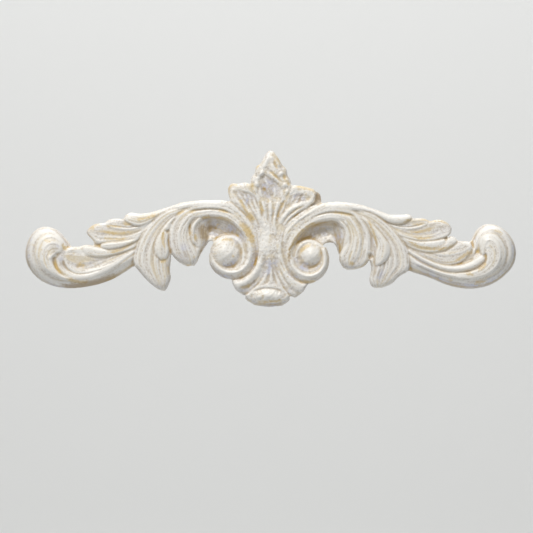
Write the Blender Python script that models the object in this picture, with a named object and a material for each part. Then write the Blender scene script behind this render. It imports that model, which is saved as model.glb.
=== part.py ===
"""Pediment crest: one cast scrollwork applique with a flat back, 245 mm long.

A palmette stands in the middle over a shell; a volute curls in on each side of it, and from
each volute a wing of acanthus leaves runs out to an end scroll. The relief is worked out in
millimetres as heights over the plan, form by form from the back, then made into one body.
Frame: X along the crest, Z up, the relief faces -Y and its back lies on Y = 0.
"""
import math

import bmesh
import bpy
import numpy as np
from mathutils import Matrix

MILLIMETRE = 0.001

# Fineness of the solid: the grid the relief is worked out on, and the triangles left on the
# front once its flatter runs are thinned.
GRID_CELL = 0.5
FRONT_TRIANGLES = 6400

# Cast resin with an ivory paint coat.
PAINT_COLOUR = (0.78, 0.74, 0.66, 1.0)
PAINT_ROUGHNESS = 0.45

# Overall size of the crest, in millimetres. X runs along the crest, Z up, and the relief rises
# from a flat back; (0, 0) is the middle of its length and height.
HALF_LENGTH = 126.0
HALF_HEIGHT = 42.0

# How the casting softens the carving, in millimetres: the blur of an edge where one form lies
# over another, the width of the shadow gap round it, the blur of the whole surface and of the
# outline, the width over which the rim rolls over, and the width over which the body falls away
# towards the outline and how far it falls; the wall below the rim stands straight.
EDGE_BLUR = 0.35
SHADOW_GAP = 0.6
MOULD_BLUR = 0.24
OUTLINE_BLUR = 0.35
RIM_ROLL = 0.9
BODY_FALL_WIDTH = 2.2
BODY_FALL = 1.0
WALL_HEIGHT = 3.2

# Stations along and across a form lie this share of a grid cell apart, so that none is missed.
STATION_SHARE = 0.45


def smooth_path(points, spacing):
    """A soft curve through hand-set points, with stations at an even spacing in mm."""
    pts = np.asarray(points, float)
    ends = np.vstack([2 * pts[0] - pts[1], pts, 2 * pts[-1] - pts[-2]])
    t = np.linspace(0.0, 1.0, 12, endpoint=False)[:, None]
    pieces = []
    for a, b, c, d in zip(ends, ends[1:], ends[2:], ends[3:]):
        pieces.append(0.5 * (2 * b + (c - a) * t + (2 * a - 5 * b + 4 * c - d) * t ** 2
                             + (3 * b - a - 3 * c + d) * t ** 3))
    path = np.vstack(pieces + [pts[-1:]])
    run = np.concatenate([[0.0], np.cumsum(np.hypot(*np.diff(path, axis=0).T))])
    count = max(int(run[-1] / spacing) + 2, 8)
    even = np.linspace(0.0, run[-1], count)
    return np.column_stack([np.interp(even, run, path[:, i]) for i in (0, 1)])


def stations(path, count):
    """The same curve with a given number of stations."""
    share = np.linspace(0.0, len(path) - 1.0, count)
    index = np.arange(len(path))
    return np.column_stack([np.interp(share, index, path[:, i]) for i in (0, 1)])


def profile(values, share):
    """A soft line through values spread evenly over 0..1."""
    knots = np.asarray(values, float)
    if len(knots) == 1:
        return np.full_like(share, knots[0])
    place = np.clip(share, 0.0, 1.0) * (len(knots) - 1)
    low = np.minimum(place.astype(int), len(knots) - 2)
    part = place - low
    ends = np.concatenate([[2 * knots[0] - knots[1]], knots, [2 * knots[-1] - knots[-2]]])
    a, b, c, d = (ends[low + i] for i in range(4))
    return 0.5 * (2 * b + (c - a) * part + (2 * a - 5 * b + 4 * c - d) * part ** 2
                  + (3 * b - a - 3 * c + d) * part ** 3)


def turn(centre, start, step, radii):
    """Points of a scroll's turn: one radius at every step of the angle, in degrees."""
    points = []
    for index, radius in enumerate(radii):
        angle = math.radians(start + step * index)
        points.append((centre[0] + radius * math.cos(angle), centre[1] + radius * math.sin(angle)))
    return points


def ease(value):
    """0 to 1 with soft ends."""
    t = np.clip(value, 0.0, 1.0)
    return t * t * (3.0 - 2.0 * t)


def soften(field, sigma):
    """Gaussian blur of a grid, with sigma in cells."""
    reach = max(int(3.0 * sigma + 0.5), 1)
    taps = np.exp(-0.5 * (np.arange(-reach, reach + 1) / max(sigma, 0.01)) ** 2)
    taps /= taps.sum()
    for axis in (0, 1):
        pad = [(0, 0), (0, 0)]
        pad[axis] = (reach, reach)
        wide = np.pad(field, pad)
        size = field.shape[axis]
        field = sum(w * np.take(wide, range(i, i + size), axis=axis) for i, w in enumerate(taps))
    return field


class Relief:
    """Heights in mm over a grid of the crest's plan, built up form by form from the back."""

    def __init__(self, cell):
        self.cell = cell
        self.xs = np.arange(-HALF_LENGTH, HALF_LENGTH + cell, cell)
        self.zs = np.arange(-HALF_HEIGHT, HALF_HEIGHT + cell, cell)
        shape = (len(self.zs), len(self.xs))
        self.height = np.zeros(shape)
        self.cover = np.zeros(shape)
        self.forms = 0

    def window(self, x, z, margin):
        """Rows and columns of the grid round some points."""
        low_c = max(int((x.min() - margin - self.xs[0]) / self.cell), 0)
        low_r = max(int((z.min() - margin - self.zs[0]) / self.cell), 0)
        high_c = min(int((x.max() + margin - self.xs[0]) / self.cell) + 2, len(self.xs))
        high_r = min(int((z.max() + margin - self.zs[0]) / self.cell) + 2, len(self.zs))
        return slice(low_r, high_r), slice(low_c, high_c)

    def cells(self, x, z, rows, cols):
        """Row and column of each point inside a window."""
        row = np.rint((z - self.zs[0]) / self.cell).astype(int) - rows.start
        col = np.rint((x - self.xs[0]) / self.cell).astype(int) - cols.start
        return (np.clip(row, 0, rows.stop - rows.start - 1),
                np.clip(col, 0, cols.stop - cols.start - 1))

    def lay(self, rows, cols, mask, high, blend, side, drop, sink):
        """Lays one form over what is there, with rounded sides and a shadow gap round it."""
        edge = max(EDGE_BLUR / self.cell, 0.8)
        spread = soften(mask * 1.0, edge)
        filled = soften(high * mask, edge) / np.maximum(spread, 1e-6)
        high = np.where(mask, high, filled)
        inner = soften(mask * 1.0, max(side * 0.6 / self.cell, 0.8))
        round_off = 1.0 - (1.0 - np.clip((inner - 0.4) / 0.56, 0.0, 1.0)) ** 2
        high = high - drop * (1.0 - round_off)
        lent = soften(blend * mask, edge) / np.maximum(spread, 1e-6)
        under = self.height[rows, cols]
        cover = self.cover[rows, cols]
        if sink > 0.0:
            gap = soften(blend * mask, max(SHADOW_GAP / self.cell, 0.5)) * 2.0
            under = under - sink * np.clip(gap, 0.0, 1.0) * (1.0 - spread) * (cover > 0)
        strength = np.where(cover > 0, spread * lent, mask * 1.0)
        self.height[rows, cols] = under * (1.0 - strength) + high * strength
        self.cover[rows, cols] = np.maximum(cover, mask * 1.0)

    def leaf(self, rails, rise, flutes=4, groove=-0.5, crown=0.8, side=1.0, drop=1.0,
             root=0.2, sink=0.15, crests=None, tilt=(0.0,), fade=0.6, tip=0.0):
        """A leaf or band between rails that run from its root to its tip.

        rise is its height along the leaf; flutes is how many run along it; groove is their
        depth, hollow when negative and reeded when positive; crown is the swell across it, or
        its hollow when negative; crests adds heights across it and tilt, along it, lifts its last
        rail over its first; side and drop round its edges; root and tip are the shares of its
        length in which it grows out of what lies beneath and sinks back; fade is what is left of
        the flutes at its tip.
        """
        step = STATION_SHARE * self.cell
        paths = [smooth_path(rail, step) for rail in rails]
        count = max(len(path) for path in paths)
        grid = np.stack([stations(path, count) for path in paths])
        widths = np.hypot(*np.moveaxis(np.diff(grid, axis=0), 2, 0))
        lanes = [max(int(width / step) + 2, 4) for width in widths.max(axis=1)]
        share = np.concatenate([np.linspace(i, i + 1.0, n, endpoint=False)
                                for i, n in enumerate(lanes)] + [[float(len(lanes))]])
        low = np.minimum(share.astype(int), len(lanes) - 1)
        part = (share - low)[:, None]
        x = grid[low, :, 0] * (1 - part) + grid[low + 1, :, 0] * part
        z = grid[low, :, 1] * (1 - part) + grid[low + 1, :, 1] * part
        u = np.linspace(0.0, 1.0, count)[None, :] * np.ones_like(x)
        v = (share / len(lanes))[:, None] * np.ones_like(x)
        width = widths.sum(axis=0)[None, :]
        broad = width / width.max()
        pitch = width / max(flutes, 1)
        depth = np.sign(groove) * np.minimum(abs(groove), 0.3 * pitch)
        high = profile(rise, u) + crown * broad * (1.0 - (2.0 * v - 1.0) ** 2 - 0.35)
        high += profile(tilt, u) * (v - 0.5)
        lane = flutes * v + 0.3 * min(flutes - 1, 1) * np.sin(3.0 * math.pi * v)
        uneven = 0.7 + 0.3 * np.sin(2.4 * np.floor(lane) + 1.7 * self.forms)
        depth = depth * ease(u / 0.06) * (1.0 - (1.0 - fade) * ease((u - 0.4) / 0.6))
        high += depth * (uneven * np.abs(np.sin(math.pi * lane)) - 0.4)
        if crests is not None:
            high += profile(crests, v)
        rows, cols = self.window(x, z, 4.0)
        at = self.cells(x, z, rows, cols)
        shape = (rows.stop - rows.start, cols.stop - cols.start)
        mask = np.zeros(shape, bool)
        mask[at] = True
        form = np.zeros(shape)
        form[at] = high
        way = np.zeros(shape)
        way[at] = u
        self.forms += 1
        blend = ease(way / root) if root > 0 else mask * 1.0
        if tip > 0:
            blend = blend * ease((1.0 - way) / tip)
        self.lay(rows, cols, mask, form, blend, side, drop, sink)

    def boss(self, centre, reach, base, rise, lean=0.0, power=0.8, sink=0.15):
        """A round or egg-shaped boss: reach is its half-length and half-width, lean its slope."""
        gx, gz = np.meshgrid(self.xs, self.zs)
        rows, cols = self.window(np.array([centre[0]]), np.array([centre[1]]), max(reach) + 3.0)
        dx = gx[rows, cols] - centre[0]
        dz = gz[rows, cols] - centre[1]
        angle = math.radians(lean)
        a = (dx * math.cos(angle) + dz * math.sin(angle)) / reach[0]
        b = (-dx * math.sin(angle) + dz * math.cos(angle)) / reach[1]
        ring = a * a + b * b
        mask = ring < 1.0
        high = base + rise * np.clip(1.0 - ring, 0.0, 1.0) ** power
        self.forms += 1
        self.lay(rows, cols, mask, high, mask * 1.0, 0.3, 0.0, sink)

    def stroke(self, points, width, rise, taper=0.25):
        """A fine ridge, or a groove when rise is negative, along a curve."""
        layer, rows, cols = self.line(points, width, taper)
        self.height[rows, cols] += rise * layer

    def line(self, points, width, taper):
        """Coverage of a tapering line of a full width, from 0 to 1, over its window."""
        step = STATION_SHARE * self.cell
        path = smooth_path(points, step)
        slope = np.gradient(path, axis=0)
        slope /= np.hypot(*slope.T)[:, None] + 1e-9
        u = np.linspace(0.0, 1.0, len(path))
        ends = ease(np.minimum(u, 1.0 - u) / max(taper, 0.001)) if taper > 0 else np.ones_like(u)
        offsets = np.linspace(-1.0, 1.0, max(int(width / step) + 3, 7))
        half = 0.5 * width * (0.45 + 0.55 * ends)
        x = path[:, 0][None, :] - slope[:, 1][None, :] * offsets[:, None] * half
        z = path[:, 1][None, :] + slope[:, 0][None, :] * offsets[:, None] * half
        value = (1.0 - offsets[:, None] ** 2) ** 1.5 * ends[None, :]
        rows, cols = self.window(x, z, 2.0)
        layer = np.zeros((rows.stop - rows.start, cols.stop - cols.start))
        np.maximum.at(layer, self.cells(x, z, rows, cols), value)
        return layer, rows, cols


def left_wing(form):
    """The left wing: the end scroll and its stem, the upper leaf and two hanging leaves."""
    # The stem's body, which fills what the forms over it leave open.
    form.leaf([((-58, 4), (-72, -4), (-86, -9), (-96, -9.4), (-103, -10), (-108, -12)),
               ((-58, -8), (-72, -18), (-86, -25), (-98, -27), (-107, -25), (-111, -18))],
              rise=(8, 8.2, 8.4, 8.4, 8.4), flutes=6, groove=-0.3, crown=0, root=0, sink=0)
    # The end scroll: one band that sweeps along the bottom and turns up round the bulb.
    form.leaf([((-60, -12), (-69, -18.5), (-80, -25.2), (-92, -28.7), (-104, -29.3), (-114, -26.3),
                (-120.5, -20), (-122.8, -12.5), (-121, -5), (-117, -0.2), (-112, 1),
                (-106.5, -1.2), (-102, -6.2), (-100, -9)),
               ((-60, -10), (-69, -15.6), (-80, -22.3), (-92, -25.8), (-104, -26.8),
                (-112.5, -24), (-117.9, -18), (-119.6, -11.5), (-118, -5.4), (-114.2, -1.9),
                (-109.7, -1.4), (-105.4, -4), (-102.6, -8.4), (-101.6, -11)),
               ((-60, -6), (-69, -11), (-80, -17), (-92, -20.5), (-102, -21.8), (-109, -20.5),
                (-114, -16.6), (-115.6, -11.6), (-114, -7), (-110.5, -5), (-106.8, -6.4),
                (-104.4, -9.6), (-104, -13))],
              rise=(8.2, 8.2, 8.3, 8.5, 8.8, 9, 9, 9, 8.6), flutes=4, groove=-0.25, crown=0.3,
              side=1.4, drop=0.9, root=0.0, sink=0.0, crests=(-3.4, -0.7, 0.9), fade=1.0,
              tilt=(2.2, 2.4, 2.4, 2.2, 1.4, 0.4, 0.0, 0.0))
    form.boss((-106.4, -15), (5, 6), 8.9, 0.7, sink=0.0)
    # The bulb, the head of an inner band that flows back down along the rim.
    form.leaf([((-103.6, -9.6), (-104.2, -6.4), (-106.6, -3.7), (-110.4, -2.5), (-114.6, -4.1),
                (-117.2, -8), (-117.9, -13.5), (-116.4, -19), (-112, -23.4), (-105, -25.8),
                (-96, -26.2)),
               ((-104.2, -10.6), (-105.2, -8.6), (-107.2, -7.4), (-110, -7.4), (-112.6, -9.4),
                (-113.6, -12.6), (-113.4, -16.4), (-111.4, -20), (-107.4, -23), (-101, -24.8),
                (-94, -25.2)),
               ((-105, -11.8), (-105.6, -11.8), (-106.6, -12), (-107.8, -12.6), (-108.8, -14),
                (-109, -16.4), (-108, -19), (-106, -21.4), (-103, -23), (-98, -24),
                (-92, -24.4))],
              rise=(9.6, 10.2, 10.8, 11, 10.8, 10.3, 9.7, 9.3, 9), flutes=4, groove=0.12,
              crown=0.9, side=1.8, drop=0.2, root=0.0, sink=0.0, crests=(-0.9, 0.2, 0.8),
              tip=0.1)
    # The lower lip, the rim of the basin, that turns up to a small hook under the bulb.
    form.leaf([((-62, -5), (-72, -12), (-80, -17.6), (-88, -21.4), (-95, -22.3), (-100.4, -20.8),
                (-103, -18), (-103.4, -14.4), (-103.4, -12.2)),
               ((-62, -8), (-72, -15.5), (-80, -21), (-88, -24.6), (-96, -25.6), (-102.4, -24),
                (-106.8, -20.2), (-108.4, -16), (-107.8, -12.8))],
              rise=(8.4, 8.6, 9, 9.5, 9.8, 9.6, 9.2, 9.2), flutes=1, groove=0.0, crown=0.15,
              side=1.6, drop=0.1, root=0.12, sink=0.0, crests=(0.0, 0.3, -0.3),
              tilt=(0.0, 0.0, 0.0, -0.2, 0.0, 0.5, 0.8, 0.5), tip=0.1)
    form.stroke(((-111.4, -15), (-109.4, -13.8), (-106.4, -12.6)), 2.2, 0.45)
    form.stroke(((-107, -14), (-107.5, -15.6), (-107.4, -18), (-106.5, -20.4),
                 (-104.6, -22.8), (-101.6, -24.6)), 1.7, -0.25)
    form.stroke(((-116.6, -12), (-116.4, -16), (-114.4, -20), (-110.6, -22.9), (-105, -24.8)),
                1.8, -0.25)
    form.stroke(((-112.4, -24.8), (-109, -26.8), (-105, -28.2), (-101, -28.8)), 1.2, 0.5)
    # The shallow basin above the lip, with its rounded end.
    form.leaf([((-60, 0), (-70, -4), (-80, -7.5), (-90, -8.6), (-97, -9), (-101, -9.6),
                (-103, -12)),
               ((-60, -3), (-70, -8.5), (-80, -13.5), (-90, -16), (-97, -16.5), (-101, -15.5),
                (-103.2, -13.2)),
               ((-60, -6), (-70, -12), (-80, -17.4), (-90, -21), (-97, -22), (-101.4, -19.4),
                (-103.2, -14.6))],
              rise=(8.2, 8.6, 8.9, 9.2, 9.4, 9.5, 9.4), flutes=3, groove=-0.15, crown=-0.7,
              side=1.8, drop=0.1, root=0.12, sink=0.0, crests=(0.2, 0.0, -0.1, 0.0))
    for ridge in (((-84, -15.4), (-90, -17.6), (-96, -18.6), (-100.4, -17.6)),
                  ((-80, -14.8), (-86, -18.2), (-92, -20), (-97.6, -20.4)),
                  ((-76, -11.6), (-83, -15), (-90, -16), (-95, -15))):
        form.stroke(ridge, 1.8, -0.22, taper=0.4)
    # The upper leaf: its body, then five lobes laid one over the other.
    form.leaf([((-28, 13.8), (-40, 13.4), (-52, 10.3), (-60, 8), (-68, 6), (-76, 3), (-84, 1),
                (-89, -2)),
               ((-38, 9), (-46, 7), (-54, 3.5), (-60, -0.5), (-66, -4.8), (-74, -8), (-82, -9.3),
                (-88, -8.6))],
              rise=(10.5, 10, 9.4, 8.8, 8.4, 8), flutes=6, groove=-0.6, crown=0.4, root=0.1)
    form.leaf([((-62, -3), (-70, -7.5), (-79, -9.8), (-87, -9.2), (-91, -7.9), (-94.2, -8.4)),
               ((-62, -6), (-69, -10), (-77, -12.8), (-86, -14.2), (-92, -13), (-94.6, -9.6))],
              rise=(8.4, 8.7, 9, 9.3, 9.5, 9.2), flutes=2, groove=0.2, crown=0.6, side=1.5,
              drop=0.6, root=0.25, sink=0.1)
    form.leaf([((-54, 5), (-61, 0.4), (-67, -3.4), (-74, -5.4), (-81, -6), (-84.6, -7.4)),
               ((-56, 1.5), (-62, -2.8), (-68, -6.6), (-74, -9.1), (-81, -10.4), (-85.2, -9.2))],
              rise=(9.4, 9.3, 9.4, 9.7, 9.9, 9.6), flutes=2, groove=0.25, crown=0.7, side=1.5,
              drop=0.7, root=0.2, sink=0.1)
    form.leaf([((-50, 9), (-58, 5.6), (-65, 1.6), (-72, 0), (-78, 0.8), (-83, 2.6), (-88, 2.2),
                (-91, 0.2), (-92.2, -1.4)),
               ((-52, 6), (-59, 2), (-65, -1.3), (-72, -3.7), (-79, -3.9), (-85, -3.4),
                (-89, -2.4), (-91.6, -1.9)),
               ((-54, 3.5), (-60, -1), (-66, -4.2), (-73, -6), (-80, -6.6), (-86.5, -7.2),
                (-89.5, -5), (-92, -2.2))],
              rise=(9.6, 9.4, 9.2, 9.1, 9, 9), flutes=2, groove=-0.8, crown=-0.2, side=1.0,
              drop=0.9, root=0.18, sink=0.08)
    form.leaf([((-46, 11), (-54, 9), (-62, 6), (-69, 3.8), (-73.6, 4.6), (-77.8, 5.1),
                (-81.4, 4.2), (-82.6, 3)),
               ((-50, 7.5), (-57, 4.6), (-63, 1.2), (-69, -0.4), (-74, -0.6), (-79, 0.2),
                (-81.5, 1.4), (-82.8, 2.6))],
              rise=(9.8, 9.5, 9.3, 9.2, 9.2, 9), flutes=2, groove=-0.8, crown=-0.3, side=1.0,
              drop=0.8, root=0.2, sink=0.08)
    form.leaf([((-24, 14.1), (-34, 14.2), (-43, 13.2), (-52, 10.6), (-60, 8.2), (-66, 7.5),
                (-70, 8), (-72.4, 6.9), (-73.2, 5.6)),
               ((-26, 12), (-36, 11.5), (-46, 9.6), (-54, 6.8), (-60, 3.6), (-65, 1.6),
                (-69, 2), (-72, 3.6), (-73.3, 5.1))],
              rise=(11.2, 11, 10.6, 10.2, 9.8, 9.9, 9.6), flutes=2, groove=-0.6, crown=0.4,
              side=1.2, drop=0.9, root=0.12, sink=0.2)
    # The hanging leaf: a long body, then the smaller lobe that lies over its inner side.
    form.leaf([((-44, 11), (-53, 8.6), (-60, 3), (-65, -4), (-67.8, -11), (-68.4, -17),
                (-66.2, -20.6), (-61.5, -26), (-57, -29.6), (-54.2, -30.8)),
               ((-42, 8), (-49, 4), (-54.5, -2), (-57.6, -9), (-58.6, -16), (-57.5, -22),
                (-55.5, -27), (-53.7, -30.6)),
               ((-40, 5), (-45, 2.5), (-49.5, -2), (-50.6, -8), (-50.2, -14), (-50.8, -20),
                (-50.4, -25), (-52.5, -30), (-53.4, -30.9))],
              rise=(10.6, 10.2, 9.8, 9.6, 9.5, 9.2, 8.6, 7.6), flutes=8, groove=-0.85, crown=0.7,
              side=1.1, drop=1.1, root=0.12, sink=0.2)
    form.leaf([((-43, 9), (-49, 6), (-54, 1), (-57.4, -5), (-58.4, -10), (-57, -13.6),
                (-54.8, -15.8)),
               ((-41, 6), (-46, 3.6), (-50, -1), (-51.6, -6.4), (-51, -11), (-52, -14.4),
                (-54.2, -16))],
              rise=(10.6, 10.6, 10.4, 10.6, 10.8, 10.6, 9.8), flutes=3, groove=-0.4, crown=0.8,
              side=1.4, drop=0.9, root=0.2, sink=0.15)
    form.stroke(((-52, -2.6), (-51.6, -1.2), (-51.3, 0.2)), 2.4, -1.0, taper=0.5)
    # The leaf beside the volute.
    form.leaf([((-37, 11), (-43, 9.4), (-48, 5.4), (-50.6, -0.5), (-50.8, -7), (-49.3, -12.6),
                (-45.6, -16.6), (-41.6, -18.6)),
               ((-35, 8.4), (-40, 6.4), (-44, 1.5), (-45.6, -4), (-44.6, -10), (-42.4, -14.4),
                (-40.6, -18.2)),
               ((-33, 7), (-37, 4.5), (-39.6, 0), (-40, -5), (-38, -10.5), (-36.6, -15),
                (-38.6, -18.4))],
              rise=(10.8, 10.6, 10.3, 10.3, 10, 9.4, 8.2), flutes=5, groove=-0.85, crown=0.9,
              side=1.1, drop=1.0, root=0.15, sink=0.2, fade=0.15)


def left_volute(form):
    """The left volute: hollow, band, ring and ball."""
    centre = (-21, -12.5)
    form.leaf([((-39, -6), (-35, -9), (-31.5, -6.1), (-28.6, -6.1), (-24, -9), (-16, -14)),
               ((-41, 4), (-35, 9), (-26, 9), (-17, 5), (-11, -3), (-9, -12))],
              rise=(6.6, 6.2, 6.0, 6.2, 6.6), flutes=1, groove=0.0, crown=-1.0, side=0.8, drop=0.3,
              root=0.0, sink=0.0, crests=(1.0, 0.3, -0.1, 0.9, 3.0, 4.4))
    for x, z, rise in ((-31.4, -2.6, 0.25), (-29.6, -2.2, 0.2), (-31.2, -4.6, 0.25),
                       (-28.4, -3.8, 0.2), (-26.6, -3.2, 0.25), (-26.4, -5, 0.3),
                       (-24.2, -3.4, 0.2), (-27.6, 0.4, -0.25), (-31, 3, 0.2), (-27, 2.6, 0.2)):
        form.stroke(((x - 0.8, z - 0.4), (x, z), (x + 0.8, z + 0.4)), 1.8, rise, taper=0.5)
    form.leaf([((-34, 8), (-38.6, 5), (-40.4, 0), (-40, -6), (-38, -10), (-36.4, -14.2)),
               ((-31.4, 6.4), (-35, 3.4), (-36.4, -1), (-35.8, -6), (-35.6, -10), (-36.2, -14)),
               ((-29, 5), (-31, 2), (-31.4, -2), (-31.6, -6.3), (-34.2, -10.4), (-36, -13.8))],
              rise=(9.8, 9.6, 9.3, 8.9, 8.5, 8), flutes=1, groove=0.0, crown=0.0, side=1.8,
              drop=0.1, root=0.2, sink=0.0, crests=(0.6, 0.2, -1.1, -3.2))
    form.stroke(((-33.4, 6), (-36.2, 4.4), (-38.2, 1.8), (-39, -1), (-39, -4), (-38.4, -6.2),
                 (-36.8, -7.8)), 1.7, 0.8, taper=0.15)
    form.stroke(((-40.8, 2), (-40.6, -1.4), (-40.3, -4)), 1.3, -0.5)
    form.stroke(((-39.4, -7.2), (-37.4, -8.8), (-34.8, -10)), 1.5, -0.4)
    form.boss(centre, (9.5, 9.5), 8.4, 0.3, sink=0)
    # The band under the lip, which tilts over to become the volute's wall.
    form.leaf([[(-44, 9), (-38, 9.6), (-30, 10.2), (-24, 9.4), (-18.6, 6.8), (-13.6, 2.2),
                (-9.6, -3.4), (-7.2, -9)]
               + turn(centre, 0, -30, (14.3, 14.3, 13.6, 12.5, 11.5, 10.8, 9.8)),
               [(-41.4, 2.6), (-38, 5), (-31, 6.4), (-25, 5.9), (-19.6, 3.6), (-15.2, -0.4),
                (-11.8, -5), (-10.3, -9.6)]
               + turn(centre, 0, -30, (10.9, 10.8, 10.3, 9.4, 8.8, 8, 7.4))],
              rise=(10.6, 10.8, 10.8, 10.7, 10.3, 9.5, 9.2, 9.1, 9.1, 9), flutes=1, groove=0.0,
              crown=0.35, side=0.8, drop=0.2, root=0.1, sink=0.1,
              tilt=(0.0, -0.2, -0.2, 0.0, 0.4, 1.2, 2.0, 2.2, 2.2, 2.0, 1.6, 1.2))
    # The lip, which lies over the band, then runs on with it and narrows to nothing.
    form.leaf([((-46, 12.9), (-36, 14.1), (-28, 14.3), (-20.8, 13.4), (-15, 9), (-10.8, 3.8),
                (-8, -1.4), (-6.7, -7), (-6.6, -12), (-6.9, -14)),
               ((-44, 8), (-37, 9.6), (-30, 10.1), (-24, 9.4), (-18.6, 6.8), (-13.2, 2.2),
                (-9.8, -2.8), (-8, -8), (-7.2, -12), (-7, -14))],
              rise=(10.6, 11, 11, 10.7, 10.2, 9.9, 9.6, 9.2), flutes=1, groove=0.0, crown=0.5,
              side=0.8, drop=0.15, root=0.15, sink=0.0,
              tilt=(0.0, 0.0, 0.2, 0.4, 0.4, 0.2, 0.0, 0.0))
    form.stroke(((-41.6, 7.8), (-38, 9.1), (-34, 9.7), (-29, 9.8), (-25, 9.3), (-21, 8.1),
                 (-18, 6.4)), 1.3, -0.8)
    form.stroke(((-38, 11.2), (-32, 11.9), (-26, 11.7), (-20, 9.8), (-14.6, 5.4), (-10.6, -0.4)),
                1.0, -0.2)
    form.stroke(((-36, 12.8), (-28, 13.1), (-21.6, 12.2), (-16, 8.4)), 1.0, -0.18)
    form.stroke(((-37, 7), (-31, 8.2), (-25, 7.7), (-19.6, 5.4), (-14.6, 1)), 1.0, -0.18)
    form.leaf([[(-19.6, 3.6), (-15.2, -0.4), (-11.8, -5), (-10.3, -9.6)]
               + turn(centre, 0, -30, (10.9, 10.8, 10.3, 9.4, 8.8, 8, 7.4)),
               [(-23, -1.6), (-19.4, -3.4), (-15.8, -6.6), (-14, -10)]
               + turn(centre, 0, -30, (7, 7, 7, 6.8, 6.4, 6, 5.6))],
              rise=(7.6, 8.6, 9.4, 9.7, 9.8, 9.9, 9.8, 9.6, 9.5), flutes=1, groove=0.0,
              crown=-0.5, side=1.2, drop=0.1, root=0.4, sink=0.0, crests=(0.9, 0.2, -0.4, -0.9))
    form.stroke([(-13.6, -3.4), (-11.4, -8)] + turn(centre, 0, -30, (10.2, 10.1, 9.6, 8.8, 8.2)),
                1.8, 0.4)
    form.stroke([(-19, -4.2), (-16, -6.4), (-14.3, -9.6), (-13.7, -13), (-14.4, -16.6),
                 (-17, -19.6)], 1.4, 0.35)
    form.boss((-22.5, -12.1), (7, 7), 9, 3.1, power=1.4, sink=0.0)


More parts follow.
